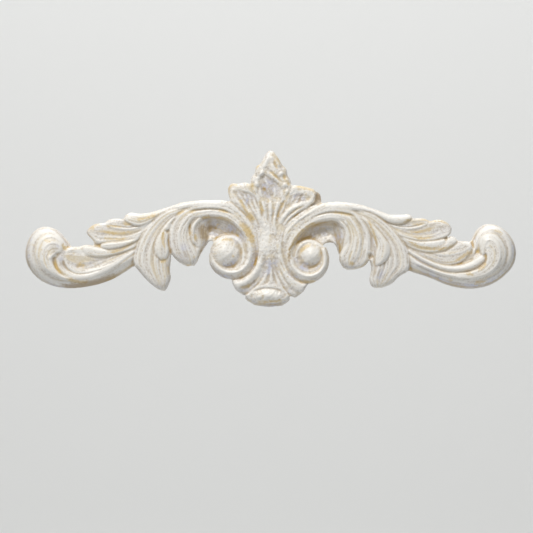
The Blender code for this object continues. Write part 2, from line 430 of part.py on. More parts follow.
def right_wing(form):
    """The right wing, which follows the left one loosely, as hand-cut work does."""
    form.leaf([((58, 4), (72, -3), (86, -7), (96, -6.6), (102, -7), (108, -10)),
               ((58, -10), (72, -19), (86, -24.6), (98, -27), (107, -24), (111, -17))],
              rise=(8, 8.2, 8.4, 8.4, 8.4), flutes=6, groove=-0.3, crown=0, root=0, sink=0)
    form.leaf([((60, -14), (68.7, -20.4), (79, -24), (90, -28.4), (100, -29.7), (109.5, -27.9),
                (117, -23), (121.5, -17), (122.3, -10), (119.5, -3.4), (114, 1.2), (108, 2.3),
                (103.6, -0.2), (101, -4.6), (100, -8)),
               ((60, -12), (69, -17.6), (79, -21.6), (90, -25.4), (100, -26.8), (108.4, -25.4),
                (115, -20.8), (118.7, -15.4), (119.4, -9.6), (117, -4), (112.6, -0.4),
                (108.2, -0.2), (104.4, -2.6), (102.4, -6.4), (101.8, -10)),
               ((60, -8), (69, -13), (79, -17.6), (90, -21), (98, -21.8), (106, -20.6),
                (112, -17), (115, -12.8), (114.8, -8.4), (112, -4.6), (108.6, -4), (105.6, -6),
                (104, -9), (103.6, -12))],
              rise=(8.2, 8.2, 8.3, 8.5, 8.8, 9, 9, 9, 8.6), flutes=4, groove=-0.3, crown=0.3,
              side=1.4, drop=0.9, root=0.0, sink=0.0, crests=(-3.4, -0.6, 0.8), fade=1.0,
              tilt=(0.6, 0.8, 1.0, 1.0, 0.6, 0.0, 0.0, 0.0))
    form.boss((105.6, -16), (5, 5), 9, 0.9, sink=0.0)
    form.leaf([((104.4, -12.6), (103.8, -8), (105, -4.2), (108.4, -2.4), (112.4, -3.2),
                (115.6, -6.8), (117.2, -11.6), (116.6, -16.6), (113.4, -21.4), (107.6, -25),
                (100, -26.4), (92, -26), (84, -23.4), (76, -20.6), (69, -18.4)),
               ((105.8, -12.8), (106.6, -9), (107.8, -6.4), (109.8, -5.8), (112, -7.6),
                (113.6, -11), (113.6, -15), (111.6, -19), (107.6, -22.2), (101.6, -24),
                (94, -24.4), (85, -22), (76, -18.6), (69, -15.8)),
               ((106, -13.6), (106.4, -13.2), (107, -13), (107.4, -13.4), (107.6, -14.4),
                (107.4, -15.8), (106.4, -17.6), (104.4, -19.2), (101, -20.6), (95, -21.8),
                (86, -20.2), (76, -15.6), (69, -11.8))],
              rise=(9.8, 10.6, 11, 10.8, 10.2, 9.6, 9.4, 9.3, 9, 8.8), flutes=4, groove=0.15,
              crown=0.9, side=1.8, drop=0.3, root=0.0, sink=0.05, crests=(-0.5, 0.4, 0.2),
              tip=0.1, fade=1.0)
    for ridge, rise in ((((70, -16.8), (78, -20.4), (86, -23.4), (94, -25), (102, -24.8)), -0.45),
                        (((70, -15.4), (78, -19.2), (86, -22.2), (94, -23.6)), 0.35),
                        (((70, -14.2), (78, -18.2), (86, -21.2), (93, -22.4)), -0.35)):
        form.stroke(ridge, 1.5, rise, taper=0.2)
    form.leaf([((62, -4), (70, -9.8), (79, -15.2), (87, -18), (94, -18.2), (100, -16.2),
                (104.4, -13.4), (106.4, -12.9), (107.6, -13.6)),
               ((62, -8), (70, -13.6), (79, -18.8), (87, -21.4), (95, -21.8), (102, -20.2),
                (105.6, -18), (107.4, -16), (107.9, -14.6))],
              rise=(8.4, 8.6, 9, 9.4, 9.8, 10, 10.2, 10.1), flutes=1, groove=0.0, crown=0.4,
              side=1.6, drop=0.3, root=0.12, sink=0.0, crests=(0.1, 0.5, -0.5), tip=0.07)
    form.stroke(((107.9, -15), (107.2, -17), (105.4, -19), (102, -20.8), (97, -22)),
                1.5, -0.2)
    form.stroke(((104.6, -7), (103.4, -9.4), (103, -11.8), (101.4, -13.8)), 2.4, -0.2)
    form.stroke(((100.6, -3.6), (101.4, -7), (101.6, -10.6), (100.4, -13.4)), 1.8, 0.6)
    form.leaf([((60, 1), (68, -3), (78, -7), (86, -8.2), (92, -6.6), (97.5, -6.3), (100.2, -8)),
               ((60, -2), (68, -7), (78, -11.5), (86, -13.6), (93, -12.8), (98, -10.6),
                (100.2, -8.6)),
               ((60, -5), (68, -10), (78, -15), (87, -18), (94, -16.8), (98.4, -13),
                (100.3, -9.2))],
              rise=(8.2, 8.6, 8.8, 9, 9.2, 9.3, 9), flutes=5, groove=-0.35, crown=0.3,
              side=1.2, drop=0.5, root=0.12, sink=0.1)
    form.leaf([((28, 13.3), (38, 13), (48, 10.9), (56, 8.2), (62, 5.6), (70, 3), (80, 1.5),
                (87, -1)),
               ((36, 8.6), (46, 6.5), (54, 2.5), (60, -1.6), (66, -5), (74, -8), (82, -8.6),
                (88, -7))],
              rise=(10.5, 10, 9.4, 8.8, 8.4, 8), flutes=6, groove=-0.6, crown=0.4, root=0.1)
    form.leaf([((62, -2), (70, -6.6), (79, -8.6), (86, -6.6), (90, -3.8), (92.8, -5.2)),
               ((62, -5), (69, -9.4), (77, -12), (85, -11.6), (90.4, -9), (93.2, -6.2))],
              rise=(8.4, 8.7, 9, 9.3, 9.5, 9.2), flutes=2, groove=0.2, crown=0.6, side=1.5,
              drop=0.6, root=0.25, sink=0.1)
    form.leaf([((54, 4), (60, -0.6), (67, -3.9), (74, -5.8), (81, -5.6), (86.2, -4.8)),
               ((56, 1), (62, -3.6), (69, -7.2), (76, -9.3), (83, -9.2), (87.6, -6.6))],
              rise=(9.4, 9.3, 9.4, 9.7, 9.9, 9.7), flutes=3, groove=-0.35, crown=0.2, side=1.2,
              drop=0.7, root=0.2, sink=0.1, crests=(-0.3, 0.0, 0.3))
    form.leaf([((50, 8), (57, 4.6), (64, 1.4), (71, 0), (76, 1), (80, 3.8), (85, 4.4),
                (88.6, 2.6), (90.3, 0.2)),
               ((52, 5), (58, 1.4), (64, -1.6), (71, -3.4), (78, -3.2), (84, -1.4), (88, -0.6),
                (90.1, -0.2)),
               ((54, 2.5), (60, -1.4), (66, -4), (73, -5.8), (80, -5.8), (86, -4.4),
                (89.4, -2.6), (90, -0.8))],
              rise=(9.6, 9.4, 9.2, 9.1, 9, 9), flutes=2, groove=-0.8, crown=-0.2, side=1.0,
              drop=0.9, root=0.18, sink=0.08)
    form.leaf([((46, 10), (53, 7.6), (60, 5), (66, 3.9), (71, 5), (76, 5.2), (78.8, 4)),
               ((50, 6.4), (56, 3.4), (62, 0.6), (68, -0.4), (73, 0), (77, 1.6), (78.9, 3.4))],
              rise=(9.8, 9.5, 9.3, 9.2, 9.2, 9), flutes=2, groove=-0.8, crown=-0.3, side=1.0,
              drop=0.8, root=0.2, sink=0.08)
    form.leaf([((24, 12.4), (34, 13.2), (44, 12.1), (52, 9.5), (59, 7.1), (65, 7), (69, 7.1),
                (70.6, 5.6)),
               ((26, 10), (36, 10.4), (45, 8.4), (52, 5.8), (58, 3.4), (64, 2.4), (68.4, 3.8),
                (70.4, 5.2))],
              rise=(11.2, 11, 10.6, 10.2, 9.8, 10, 9.7), flutes=2, groove=-0.3, crown=0.8,
              side=1.2, drop=0.9, root=0.12, sink=0.2)
    form.leaf([((42, 10), (51, 7.6), (59, 2), (64.4, -4), (67.8, -10), (69, -16), (68.4, -20.6),
                (64, -23.6), (60, -27.4), (55, -29.4)),
               ((40, 7), (48, 3.4), (54.6, -3), (59, -10), (60, -17), (57.6, -23), (54, -29.3)),
               ((38, 4), (44, 1.6), (48, -3), (49.6, -9), (49.6, -15), (50.4, -20), (49.5, -25),
                (50.4, -28.4), (52.6, -29.4))],
              rise=(10.6, 10.2, 9.8, 9.6, 9.5, 9.2, 8.6, 7.6), flutes=8, groove=-0.85, crown=0.7,
              side=1.1, drop=1.1, root=0.12, sink=0.2)
    form.leaf([((41, 8.4), (48, 5), (54, -1), (58.4, -7), (59.2, -12), (56.6, -16.6),
                (52.6, -18.6)),
               ((40, 5), (45, 2.6), (50, -2), (53, -7), (52.6, -11), (52, -15),
                (52, -18.4))],
              rise=(10.6, 10.6, 10.5, 10.7, 10.8, 10.5, 9.7), flutes=3, groove=-0.5, crown=0.8,
              side=1.5, drop=0.9, root=0.2, sink=0.15)
    form.leaf([((36, 10), (42, 8), (46.6, 3.6), (49.4, -2.4), (49.8, -9), (49.2, -14.4),
                (46.4, -18.6), (41, -20.3)),
               ((34, 7.6), (38.6, 5), (42, 0), (43.6, -6), (42.6, -12), (40.4, -17),
                (39.4, -20.2)),
               ((32, 6), (35.4, 3.6), (37.8, -1), (38, -6), (36, -11), (34.2, -14.4),
                (35.8, -18.6), (38, -20.2))],
              rise=(10.8, 10.6, 10.3, 10.3, 10, 9.4, 8.2), flutes=5, groove=-0.85, crown=0.9,
              side=1.1, drop=1.0, root=0.15, sink=0.2, fade=0.3)
    form.stroke(((47.6, -12.4), (49.6, -13.6), (51, -15.4)), 3.6, -1.0, taper=0.5)


def right_volute(form):
    """The right volute: hollow, band, ring and ball."""
    centre = (19, -14)
    form.leaf([((36.4, -8), (34, -10.5), (31.6, -7), (27.3, -7), (23, -10), (15, -14)),
               ((37.8, 3), (34, 7.6), (26, 7.6), (16, 4), (10, -3), (8, -12))],
              rise=(6.6, 6.2, 6.0, 6.2, 6.6), flutes=1, groove=0.0, crown=-1.0, side=0.8, drop=0.3,
              root=0.0, sink=0.0, crests=(1.0, 0.3, -0.1, 0.9, 3.0, 4.4))
    for x, z, rise in ((23, -3.8, 0.2), (25.4, -3, 0.25), (27.6, -2.6, 0.25), (29.8, -3.6, 0.3),
                       (21, -2.4, 0.2), (26.4, -5, 0.25), (28.6, -5.2, 0.2), (31, -2, 0.2)):
        form.stroke(((x - 0.8, z + 0.3), (x, z), (x + 0.8, z - 0.3)), 1.8, rise, taper=0.5)
    form.leaf([((31, 6), (35, 3.8), (37.8, 0.2), (38.5, -4), (37.2, -8.6), (34.4, -12.8)),
               ((30, 4.8), (33.4, 2.6), (35.6, -0.8), (36, -5), (35.6, -9.2), (34.2, -12.7)),
               ((28, 3.6), (31, 1.6), (32.2, -2), (32.8, -6.2), (33.4, -10.4), (34.1, -12.6))],
              rise=(9.8, 9.5, 9.2, 8.9, 8.5, 7.8), flutes=1, groove=0.0, crown=0.0, side=1.8,
              drop=0.1, root=0.25, sink=0.0, crests=(0.8, 0.4, -0.8, -2.2, -3.2))
    form.stroke(((31, 5), (34.6, 3.4), (37.2, 0.6), (38, -2.6), (37.4, -6), (35.8, -8.4)), 1.8, 0.6)
    form.stroke(((34.6, 1), (35.6, -2), (35.2, -5.6), (33.8, -8.4)), 1.6, 0.25)
    form.boss(centre, (8.6, 8.6), 8.4, 0.3, sink=0)
    form.leaf([[(44, 6.4), (38, 7.9), (31, 8.5), (24, 7.2), (17.6, 3.8), (12.4, -0.6), (8.6, -5.6),
                (6.8, -11)]
               + turn(centre, 180, 30, (12.4, 12.6, 13.2, 13.2, 12, 10.8, 9.9, 9.9)),
               [(39.4, 1), (36.8, 3.4), (31, 4.4), (25, 3.9), (19.4, 1.8), (14.8, -2), (11, -7),
                (9.3, -12)]
               + turn(centre, 180, 30, (9.8, 9.7, 9.9, 9.9, 9.6, 8.8, 8, 7.8))],
              rise=(10.6, 10.8, 10.8, 10.6, 10.4, 10, 9.6, 9.2, 9.2, 9.2, 9.4), flutes=1,
              groove=0.0, crown=0.35, side=0.8, drop=0.2, root=0.1, sink=0.1,
              tilt=(0.0, -0.2, -0.2, 0.0, 0.2, 0.6, 1.0, 2.0, 2.4, 2.2, 1.8, 1.2))
    form.leaf([((46, 11.7), (37, 13.2), (30, 13.2), (24, 11.4), (17, 7.9), (11.6, 3.6), (7.4, -1.4),
                (5.6, -7), (5.6, -12), (7, -18), (8.6, -21)),
               ((44, 6), (37, 8), (30, 8.4), (23, 6.9), (16.6, 3.2), (11.6, -1), (8, -6), (6.9, -11),
                (7, -15), (8.2, -19.4), (9, -21))],
              rise=(10.6, 11, 11, 10.7, 10.3, 10, 9.7, 9.4, 8.8), flutes=1, groove=0.0, crown=0.5,
              side=0.8, drop=0.15, root=0.15, sink=0.0,
              tilt=(0.0, 0.0, 0.2, 0.3, 0.4, 0.3, 0.2, 0.2))
    form.stroke(((45, 5.4), (40, 6.9), (36, 7.7), (32, 8.1), (28, 8), (23, 6.6), (19, 4.6)), 1.2,
                -0.55)
    form.stroke(((44, 8.6), (38, 10), (31, 10.6), (25, 9.4), (18, 6), (12.4, 1.6), (9, -3)), 1.0,
                -0.22)
    form.stroke(((40, 11.6), (32, 12.2), (25.4, 10.8), (19, 7.8)), 1.0, -0.18)
    form.stroke(((38, 5), (31, 6.5), (25, 5.6), (18.6, 2.8), (13.4, -1.6)), 1.0, -0.15)
    form.stroke(((24, 11), (17.6, 7.2), (12.4, 3.6), (8.4, -0.6), (6.6, -5), (6.6, -10)), 1.2, 0.4)
    form.leaf([[(19.4, 1.8), (14.8, -2), (11, -7), (9.3, -12)]
               + turn(centre, 180, 30, (9.8, 9.7, 9.9, 9.9, 9.6, 8.8, 8, 7.8)),
               [(21, -4.6), (17, -5.8), (13.8, -8.8), (12.7, -12)]
               + turn(centre, 180, 30, (6.2, 6.2, 6.2, 6.2, 6.2, 6, 5.6, 5.6))],
              rise=(7.4, 8.2, 9.1, 9.6, 9.8, 9.9, 9.9, 9.8, 9.6), flutes=1, groove=0.0,
              crown=-0.4, side=1.2, drop=0.1, root=0.4, sink=0.0, crests=(0.7, 0.2, -0.4, -0.8))
    form.stroke([(10.4, -12), (10.6, -17)] + turn(centre, 220, 30, (9, 9.1, 9.1, 8.8, 8)), 2.0, 0.5)
    form.stroke([(25.4, -7.4), (21, -5.4), (16.6, -6.6), (13.4, -10), (12.4, -14), (13.6, -18)],
                1.3, 0.3)
    form.boss((19.9, -12.9), (5.8, 5.8), 8.8, 3.1, power=1.4, sink=0.0)


def palmette(form):
    """The middle: neck, the upright leaf with its side lobes, and the shell below."""
    form.leaf([((-5.6, -10), (-7, -3), (-11, 4), (-16, 9.5), (-21, 13.4)),
               ((0, -10), (0, -4), (0, 2), (0, 8), (0, 14)),
               ((5.6, -10), (6.6, -3), (10.4, 3), (16, 8), (24.6, 12.6))],
              rise=(9.8, 9.9, 9.8, 9.5, 9.2), flutes=12, groove=-0.3, crown=0.0, side=0.8, drop=0.6,
              root=0.0, sink=0.0)
    form.leaf([((8, 5), (13, 9.4), (19, 11.6), (25, 12.6)),
               ((6, 9), (13, 15), (20, 18.6), (24, 17.8), (25, 14.6))],
              rise=(6.8, 7.2, 7, 6.4), flutes=1, groove=0, crown=0.3, side=0.9, drop=0.6,
              root=0.1, sink=0.0)
    # Side lobes: a flat rim with a ragged inner edge round a cupped hollow.
    form.leaf([((-5.4, -3), (-9, 3.4), (-14, 8.8), (-18.8, 12.8), (-20.8, 16), (-21.4, 20.2)),
               ((-4, -2), (-7, 5), (-11.5, 11.5), (-16, 17), (-20.4, 21.9)),
               ((-2.4, -1), (-4.4, 6), (-7, 13.4), (-10.4, 21.6), (-13.6, 23.1), (-15.8, 22.4),
                (-19.8, 22.8))],
              rise=(9.8, 9.8, 10, 10.2, 10.1, 9.6), flutes=1, groove=0.0, crown=0.2, side=0.8,
              drop=0.4, root=0.15, sink=0.1)
    form.leaf([((-6.4, 1), (-9.8, 6.6), (-13.4, 11), (-16.8, 14.4), (-18.8, 17), (-19.3, 18.6)),
               ((-4.8, 4), (-6.2, 9), (-7.2, 14.4), (-9.6, 17.2), (-13.6, 18.4), (-17.4, 19.4),
                (-19.1, 18.9))],
              rise=(9.6, 9.5, 9.4, 9.3, 9.4, 9.6), flutes=1, groove=0.0, crown=-0.2, side=0.7,
              drop=0.0, root=0.45, sink=0.0, crests=(0.4, 0.1, 0.0, 0.1))
    for x, z in ((-17.4, 19.4), (-14.6, 18.9), (-11.8, 18.1), (-9, 16.7)):
        form.stroke(((x - 0.4, z + 1), (0.8 * x - 1, 0.8 * z), (0.6 * x - 2, 0.6 * z)), 2, 0.4,
                    taper=0.6)
    for rib, rise in ((((-18.6, 15.6), (-14.8, 12), (-11, 8), (-8, 3), (-6, -2)), 0.6),
                      (((-15.4, 16), (-12.4, 12), (-9, 7), (-6, 1)), 0.5),
                      (((-12, 15.6), (-9.4, 10.6), (-6.4, 5.6), (-4.6, 0)), 0.55),
                      (((-9, 15), (-6.8, 9.6), (-5, 4.6), (-3.8, 0)), 0.45),
                      (((-17, 14.4), (-12.8, 9.8), (-9.6, 5.6), (-7, 0)), -0.3),
                      (((-13.4, 14.6), (-10.2, 9.6), (-7.4, 4), (-5.4, -1)), -0.3)):
        form.stroke(rib, 1.7, rise, taper=0.3)
    form.leaf([((4.6, -3), (8, 3), (13, 8), (18.4, 11), (21.4, 14), (22.6, 18)),
               ((3.4, -2), (6, 4.6), (10.4, 11), (16, 16.4), (21.6, 19.4)),
               ((2.2, -1), (4, 6), (6.6, 13), (10, 20.8), (14.4, 21.4), (18, 20.6),
                (21.4, 19.8))],
              rise=(9.8, 9.8, 10, 10.2, 10.1, 9.6), flutes=1, groove=0.0, crown=0.2, side=0.8,
              drop=0.4, root=0.15, sink=0.1)
    form.leaf([((5.6, 3), (8.4, 7.6), (11.8, 11), (15.6, 12.6), (18.8, 13.8), (20, 15.4)),
               ((4, 4), (5.6, 10), (7.2, 14.8), (9.6, 16.9), (13.4, 18), (17.6, 17.5),
                (19.8, 16.4))],
              rise=(9.6, 9.5, 9.4, 9.3, 9.4, 9.6), flutes=1, groove=0.0, crown=-0.2, side=0.7,
              drop=0.0, root=0.45, sink=0.0, crests=(0.5, 0.1, 0.0, 0.1))
    for x, z in ((9.2, 16.8), (12, 17.8), (14.8, 17.6), (17.6, 17.4)):
        form.stroke(((x + 0.4, z + 1), (0.8 * x + 1, 0.8 * z), (0.6 * x + 2, 0.6 * z)), 2, 0.4,
                    taper=0.6)
    form.stroke(((4, 1), (6, 5.6), (8.8, 8.8), (12, 11), (15.4, 12.6), (18.2, 15.2)), 2.8, 0.8,
                taper=0.3)
    for rib, rise in ((((5.6, 0.6), (8, 4.2), (12, 7.8), (17, 10.6)), 0.45),
                      (((7, 0), (10, 3.6), (14.4, 7), (19, 9.6)), 0.35),
                      (((5, 0), (7, 4.8), (10.6, 8.4), (15, 11.2), (19.6, 13)), -0.15),
                      (((6.4, 0), (9, 4), (13, 7.2), (18, 10.2)), -0.2),
                      (((7.6, 7), (10.4, 11.4), (14.4, 14.6)), 0.35),
                      (((4.6, 5), (6.8, 10), (9.6, 14.4)), -0.3)):
        form.stroke(rib, 1.7, rise, taper=0.3)
    # The upright lobe: blunt teeth down both sides, veins aslant to its tip, and a hollow below.
    form.leaf([((-1.6, 0), (-4, 7), (-7, 14), (-9.7, 20.6), (-9.8, 25.4), (-8.2, 27.4),
                (-7.4, 31), (-5.2, 32.4), (-3.6, 35.8), (-1.4, 38.6), (-0.5, 39.1)),
               ((0, 0), (0, 8), (-0.4, 17), (-0.6, 26), (-0.4, 33), (-0.2, 39.1)),
               ((1.6, 0), (3.8, 7), (6.8, 14), (9.8, 20.6), (9.5, 24.4), (8.2, 26.4),
                (7.6, 29.9), (5.8, 31.3), (3.8, 34.8), (1.2, 38.5), (0.2, 39.1))],
              rise=(9.8, 10, 10.2, 10.3, 10.3, 10.2, 9.6), flutes=1, groove=0.0, crown=0.5,
              side=1.4, drop=0.5, root=0.3, sink=0.0)
    form.leaf([((-4.2, 9), (-6, 14.4), (-7.4, 19), (-6.8, 22.8), (-5.4, 26.2), (-3.8, 27.6)),
               ((0, 9), (0, 15), (-0.4, 19.4), (-1.4, 23), (-2.6, 26), (-3.4, 27.6)),
               ((4, 9), (6, 14.6), (6.8, 19.2), (4.2, 22.4), (0.8, 25), (-2.8, 27.6))],
              rise=(9.8, 9.7, 9.6, 9.6, 9.7, 10), flutes=1, groove=0.0, crown=-0.3, side=0.8,
              drop=0.0, root=0.4, sink=0.0, crests=(0.3, 0.0, 0.0, 0.2))
    for tooth, rise in ((((-3.4, 26.8), (-4.4, 27.7), (-5.7, 29.4)), 0.55),
                        (((-5.8, 20.6), (-6.8, 21.9), (-8, 24)), 0.7),
                        (((3.6, 26.2), (4.6, 27.2), (6.1, 28.7)), 0.7),
                        (((6, 20.6), (7, 21.8), (8.3, 23.4)), 0.65),
                        (((-7, 17.6), (-8, 19), (-9.2, 21)), 0.45),
                        (((7, 17), (8, 18.4), (9, 20.6)), 0.45),
                        (((-6.4, 25.8), (-7.6, 26.6), (-8.8, 27.4)), -0.45),
                        (((-5.2, 25.4), (-4.6, 27.6), (-3.8, 29.8)), 0.5),
                        (((-4.6, 31), (-5.4, 31.7), (-6.2, 32.4)), -0.35),
                        (((5, 25.4), (7, 26), (8.6, 26.4)), -0.55),
                        (((3.6, 30), (5, 30.8), (6.6, 31.4)), -0.45)):
        form.stroke(tooth, 2.8, rise, taper=0.5)
    form.stroke(((-3.8, 29.4), (-3.2, 32.2), (-1.6, 34.6), (-0.1, 35.8), (1.3, 34.6)), 2.6, 0.4)
    for vein, rise in ((((1.6, 35), (3, 32.6), (4, 30)), 0.35),
                       (((0.4, 34.8), (2.2, 32), (3.4, 29)), -0.4),
                       (((-0.6, 33.4), (1, 31), (2.6, 28.4)), 0.3),
                       (((-2.2, 30.8), (0, 28.6), (2.4, 26.2), (5, 23.6), (6.4, 21)), -0.45),
                       (((-2.8, 29.2), (-0.4, 27.2), (2.2, 24.8), (5, 22)), 0.5),
                       (((-4.4, 26.6), (-2.6, 23.6), (-0.4, 20)), 0.25),
                       (((1.4, 21.6), (2, 18.4), (1.4, 15)), 0.35),
                       (((5.6, 20.6), (5.4, 17.6), (4.4, 14.8)), 0.4),
                       (((-5.6, 22), (-5.4, 18.4), (-4.4, 15)), 0.3)):
        form.stroke(vein, 1.6, rise, taper=0.4)
    for rib, rise in ((((-6.2, 16), (-4.8, 11.4), (-3.6, 7), (-2.6, 1)), -0.45),
                      (((-2.6, 15.6), (-1.9, 11.6), (-1.6, 7), (-1.2, 1)), -0.35),
                      (((1.4, 15), (1.1, 11), (0.8, 6), (0.4, 0)), -0.3),
                      (((7, 15), (5.2, 11.6), (3.6, 8), (2.2, 2)), -0.45),
                      (((-4.4, 15.4), (-3.7, 10), (-3.2, 5), (-2.8, -2)), 0.45),
                      (((-0.6, 16), (-0.3, 11), (-0.4, 4)), 0.35),
                      (((3.9, 15.4), (2.8, 10), (1.8, 5), (1.2, -2)), 0.45)):
        form.stroke(rib, 1.7, rise, taper=0.3)
    # The neck, which swells and falls back, and the shell with its two petals and rolled lip.
    form.leaf([((-7.8, 5), (-6.2, -4), (-5.6, -10), (-6.6, -16), (-9.6, -22), (-14, -27)),
               ((0, 5), (0, -4), (0, -10), (0, -16), (0, -22), (0, -27)),
               ((7.8, 5), (6.2, -4), (5.8, -10), (6.8, -16), (9, -22), (13, -27))],
              rise=(9.4, 10, 10.6, 10, 9.1, 9.2), flutes=1, groove=0.0, crown=0.4, side=0.8,
              drop=0.3, root=0.5, sink=0.0, crests=(0.1, 0.0, -0.1))
    form.leaf([((-4.4, -8), (-6.2, -15), (-10, -21.6), (-14, -25), (-19.6, -26.2)),
               ((-2.6, -9), (-4.6, -18), (-8.4, -24.6), (-12.6, -28), (-17.6, -30.4)),
               ((-1.4, -10), (-2.6, -19), (-5.6, -26), (-9.8, -31.2), (-13.8, -33))],
              rise=(10.2, 10, 10, 9.6, 8.9), flutes=1, groove=0.0, crown=0.4, side=1.4, drop=0.5,
              root=0.6, sink=0.0, crests=(0.4, 0.9, 0.1, -0.8, -0.7))
    form.stroke(((-5, -22), (-8.4, -26.4), (-12, -28.8), (-16.6, -29.6)), 2.8, -0.3)
    form.stroke(((-5.4, -23.6), (-8.2, -27.4), (-11.6, -30.4)), 1.8, 0.25)
    form.leaf([((4.4, -8), (6.4, -15), (9.4, -21.6), (13, -25.8), (18.2, -27.6)),
               ((2.6, -9), (4.8, -18), (8, -25), (11.8, -29.2), (16.4, -31)),
               ((1.4, -10), (2.4, -19), (4.8, -26.4), (8.2, -32), (12, -34.4))],
              rise=(10.2, 9.8, 9.7, 9.4, 8.8), flutes=2, groove=-0.25, crown=0.3, side=1.4,
              drop=0.5, root=0.6, sink=0.0, crests=(0.3, 0.4, -0.3, -0.6))
    form.stroke(((4, -14.6), (5.4, -17.6), (7.6, -21.4), (11, -25.4)), 1.5, -0.5)
    form.leaf([((-1.4, -18), (-3.2, -23), (-6.6, -28), (-11, -32), (-12.6, -34.8), (-8, -38)),
               ((0, -18), (0, -23), (-0.4, -28), (-0.8, -32.4), (-1, -36), (-1.2, -38.9)),
               ((1.4, -18), (2.8, -23), (5, -28), (8, -32.4), (9.2, -35.4), (5.6, -38.2))],
              rise=(8.9, 8.8, 9.2, 9.6, 8.8, 5.8), flutes=1, groove=0.0, crown=0.5, side=1.6,
              drop=0.4, root=0.5, sink=0.0)
    for rib, rise in ((((0, -18.6), (0.2, -24), (0.6, -28.6)), 0.3),
                      (((1.2, -20), (3.6, -26), (6.6, -30.6)), 0.3),
                      (((-1.4, -20), (-4, -26), (-8, -30)), 0.35),
                      (((3.6, -21), (6.6, -26.6), (10, -30)), 0.3),
                      (((0.8, -21), (2, -25.6), (4, -29)), -0.25),
                      (((-0.8, -21), (-2, -26), (-4.4, -29.4)), -0.3)):
        form.stroke(rib, 1.7, rise, taper=0.35)
    form.boss((-1.2, -33.1), (9.2, 3.8), 9.0, 1.9, lean=-2, power=1.6, sink=0.0)
    form.stroke(((-7.6, -34.2), (-6, -34), (-4.4, -34.2)), 2.6, 0.4, taper=0.5)


def evened(form):
    """Heights with the edges of every form softened, as a mould leaves them."""
    reach = MOULD_BLUR / form.cell
    weight = np.maximum(soften(form.cover, reach), 1e-6)
    return soften(form.height * form.cover, reach) / weight


def finished(form):
    """The outline as a level set, and the heights, rounded down towards the outline."""
    cell = form.cell
    solid = (soften(form.cover, 0.5 / cell) > 0.5) | (form.cover > 0)
    level = soften(solid * 1.0, OUTLINE_BLUR / cell)
    height = evened(form)
    body = np.clip((soften(solid * 1.0, BODY_FALL_WIDTH / cell) - 0.45) / 0.5, 0.0, 1.0)
    height = height - BODY_FALL * (1.0 - body) ** 2
    roll = np.clip((soften(solid * 1.0, RIM_ROLL / cell) - 0.46) / 0.5, 0.0, 1.0)
    floor = np.minimum(WALL_HEIGHT, height)
    height = floor + (height - floor) * (0.55 + 0.45 * np.sqrt(1.0 - (1.0 - roll) ** 2))
    return level, height


def build_relief(cell):
    """The whole crest in relief."""
    form = Relief(cell)
    left_wing(form)
    right_wing(form)
    palmette(form)
    left_volute(form)
    right_volute(form)
    return form


def at_places(field, form, x, z):
    """Values of a grid at places between its cells."""
    col = np.clip((x - form.xs[0]) / form.cell, 0, len(form.xs) - 1.001)
    row = np.clip((z - form.zs[0]) / form.cell, 0, len(form.zs) - 1.001)
    c = col.astype(int)
    r = row.astype(int)
    fc = col - c
    fr = row - r
    return ((field[r, c] * (1 - fc) + field[r, c + 1] * fc) * (1 - fr)
            + (field[r + 1, c] * (1 - fc) + field[r + 1, c + 1] * fc) * fr)


# Points that the cut along the outline leaves nearer than this, in mm, are one point.
CUT_SEAM = 0.02


def relief_sheet(form, level, height, spacing):
    """The front as an open sheet in mm: a grid cut along the outline and raised to its height."""
    sheet = bmesh.new()
    columns = int(2 * HALF_LENGTH / spacing)
    lines = int(2 * HALF_HEIGHT / spacing)
    bmesh.ops.create_grid(sheet, x_segments=columns, y_segments=lines, size=1.0,
                          matrix=Matrix.Diagonal((HALF_LENGTH, HALF_HEIGHT, 1.0, 1.0)))
    plan = np.array([vert.co[:2] for vert in sheet.verts])
    inside = at_places(level, form, plan[:, 0], plan[:, 1]) - 0.5
    for vert, value in zip(sheet.verts, inside):
        vert.co = (vert.co.x, value, vert.co.y)
    outer = [vert for vert, value in zip(sheet.verts, inside) if value < -0.49]
    bmesh.ops.delete(sheet, geom=outer, context='VERTS')
    bmesh.ops.bisect_plane(sheet, geom=sheet.verts[:] + sheet.edges[:] + sheet.faces[:],
                           dist=1e-5, plane_co=(0, 0, 0), plane_no=(0, 1, 0), clear_inner=True)
    bmesh.ops.remove_doubles(sheet, verts=sheet.verts, dist=CUT_SEAM)
    place = np.array([(vert.co.x, vert.co.z) for vert in sheet.verts])
    rise = at_places(height, form, place[:, 0], place[:, 1])
    for vert, value in zip(sheet.verts, rise):
        vert.co.y = -value
    return sheet


def thinned(sheet):
    """The sheet with its flatter faces merged, by a Decimate modifier that is then applied."""
    mesh = bpy.data.meshes.new("front")
    bmesh.ops.triangulate(sheet, faces=sheet.faces)
    sheet.to_mesh(mesh)
    sheet.free()
    front = bpy.data.objects.new("front", mesh)
    bpy.context.scene.collection.objects.link(front)
    thin = front.modifiers.new("thin", 'DECIMATE')
    thin.ratio = FRONT_TRIANGLES / len(mesh.polygons)
    shape = front.evaluated_get(bpy.context.evaluated_depsgraph_get())
    result = bmesh.new()
    result.from_mesh(shape.to_mesh())
    shape.to_mesh_clear()
    bpy.data.objects.remove(front)
    return result


def close_to_back(body):
    """Walls straight back from the outline to Y = 0, and the flat back."""
    rim = [edge for edge in body.edges if edge.is_boundary]
    walls = bmesh.ops.extrude_edge_only(body, edges=rim)
    low = [item for item in walls["geom"] if isinstance(item, bmesh.types.BMVert)]
    for vert in low:
        vert.co.y = 0.0
    edges = [item for item in walls["geom"]
             if isinstance(item, bmesh.types.BMEdge) and item.is_boundary]
    bmesh.ops.contextual_create(body, geom=edges)
    bmesh.ops.triangulate(body, faces=body.faces)
    bmesh.ops.recalc_face_normals(body, faces=body.faces)


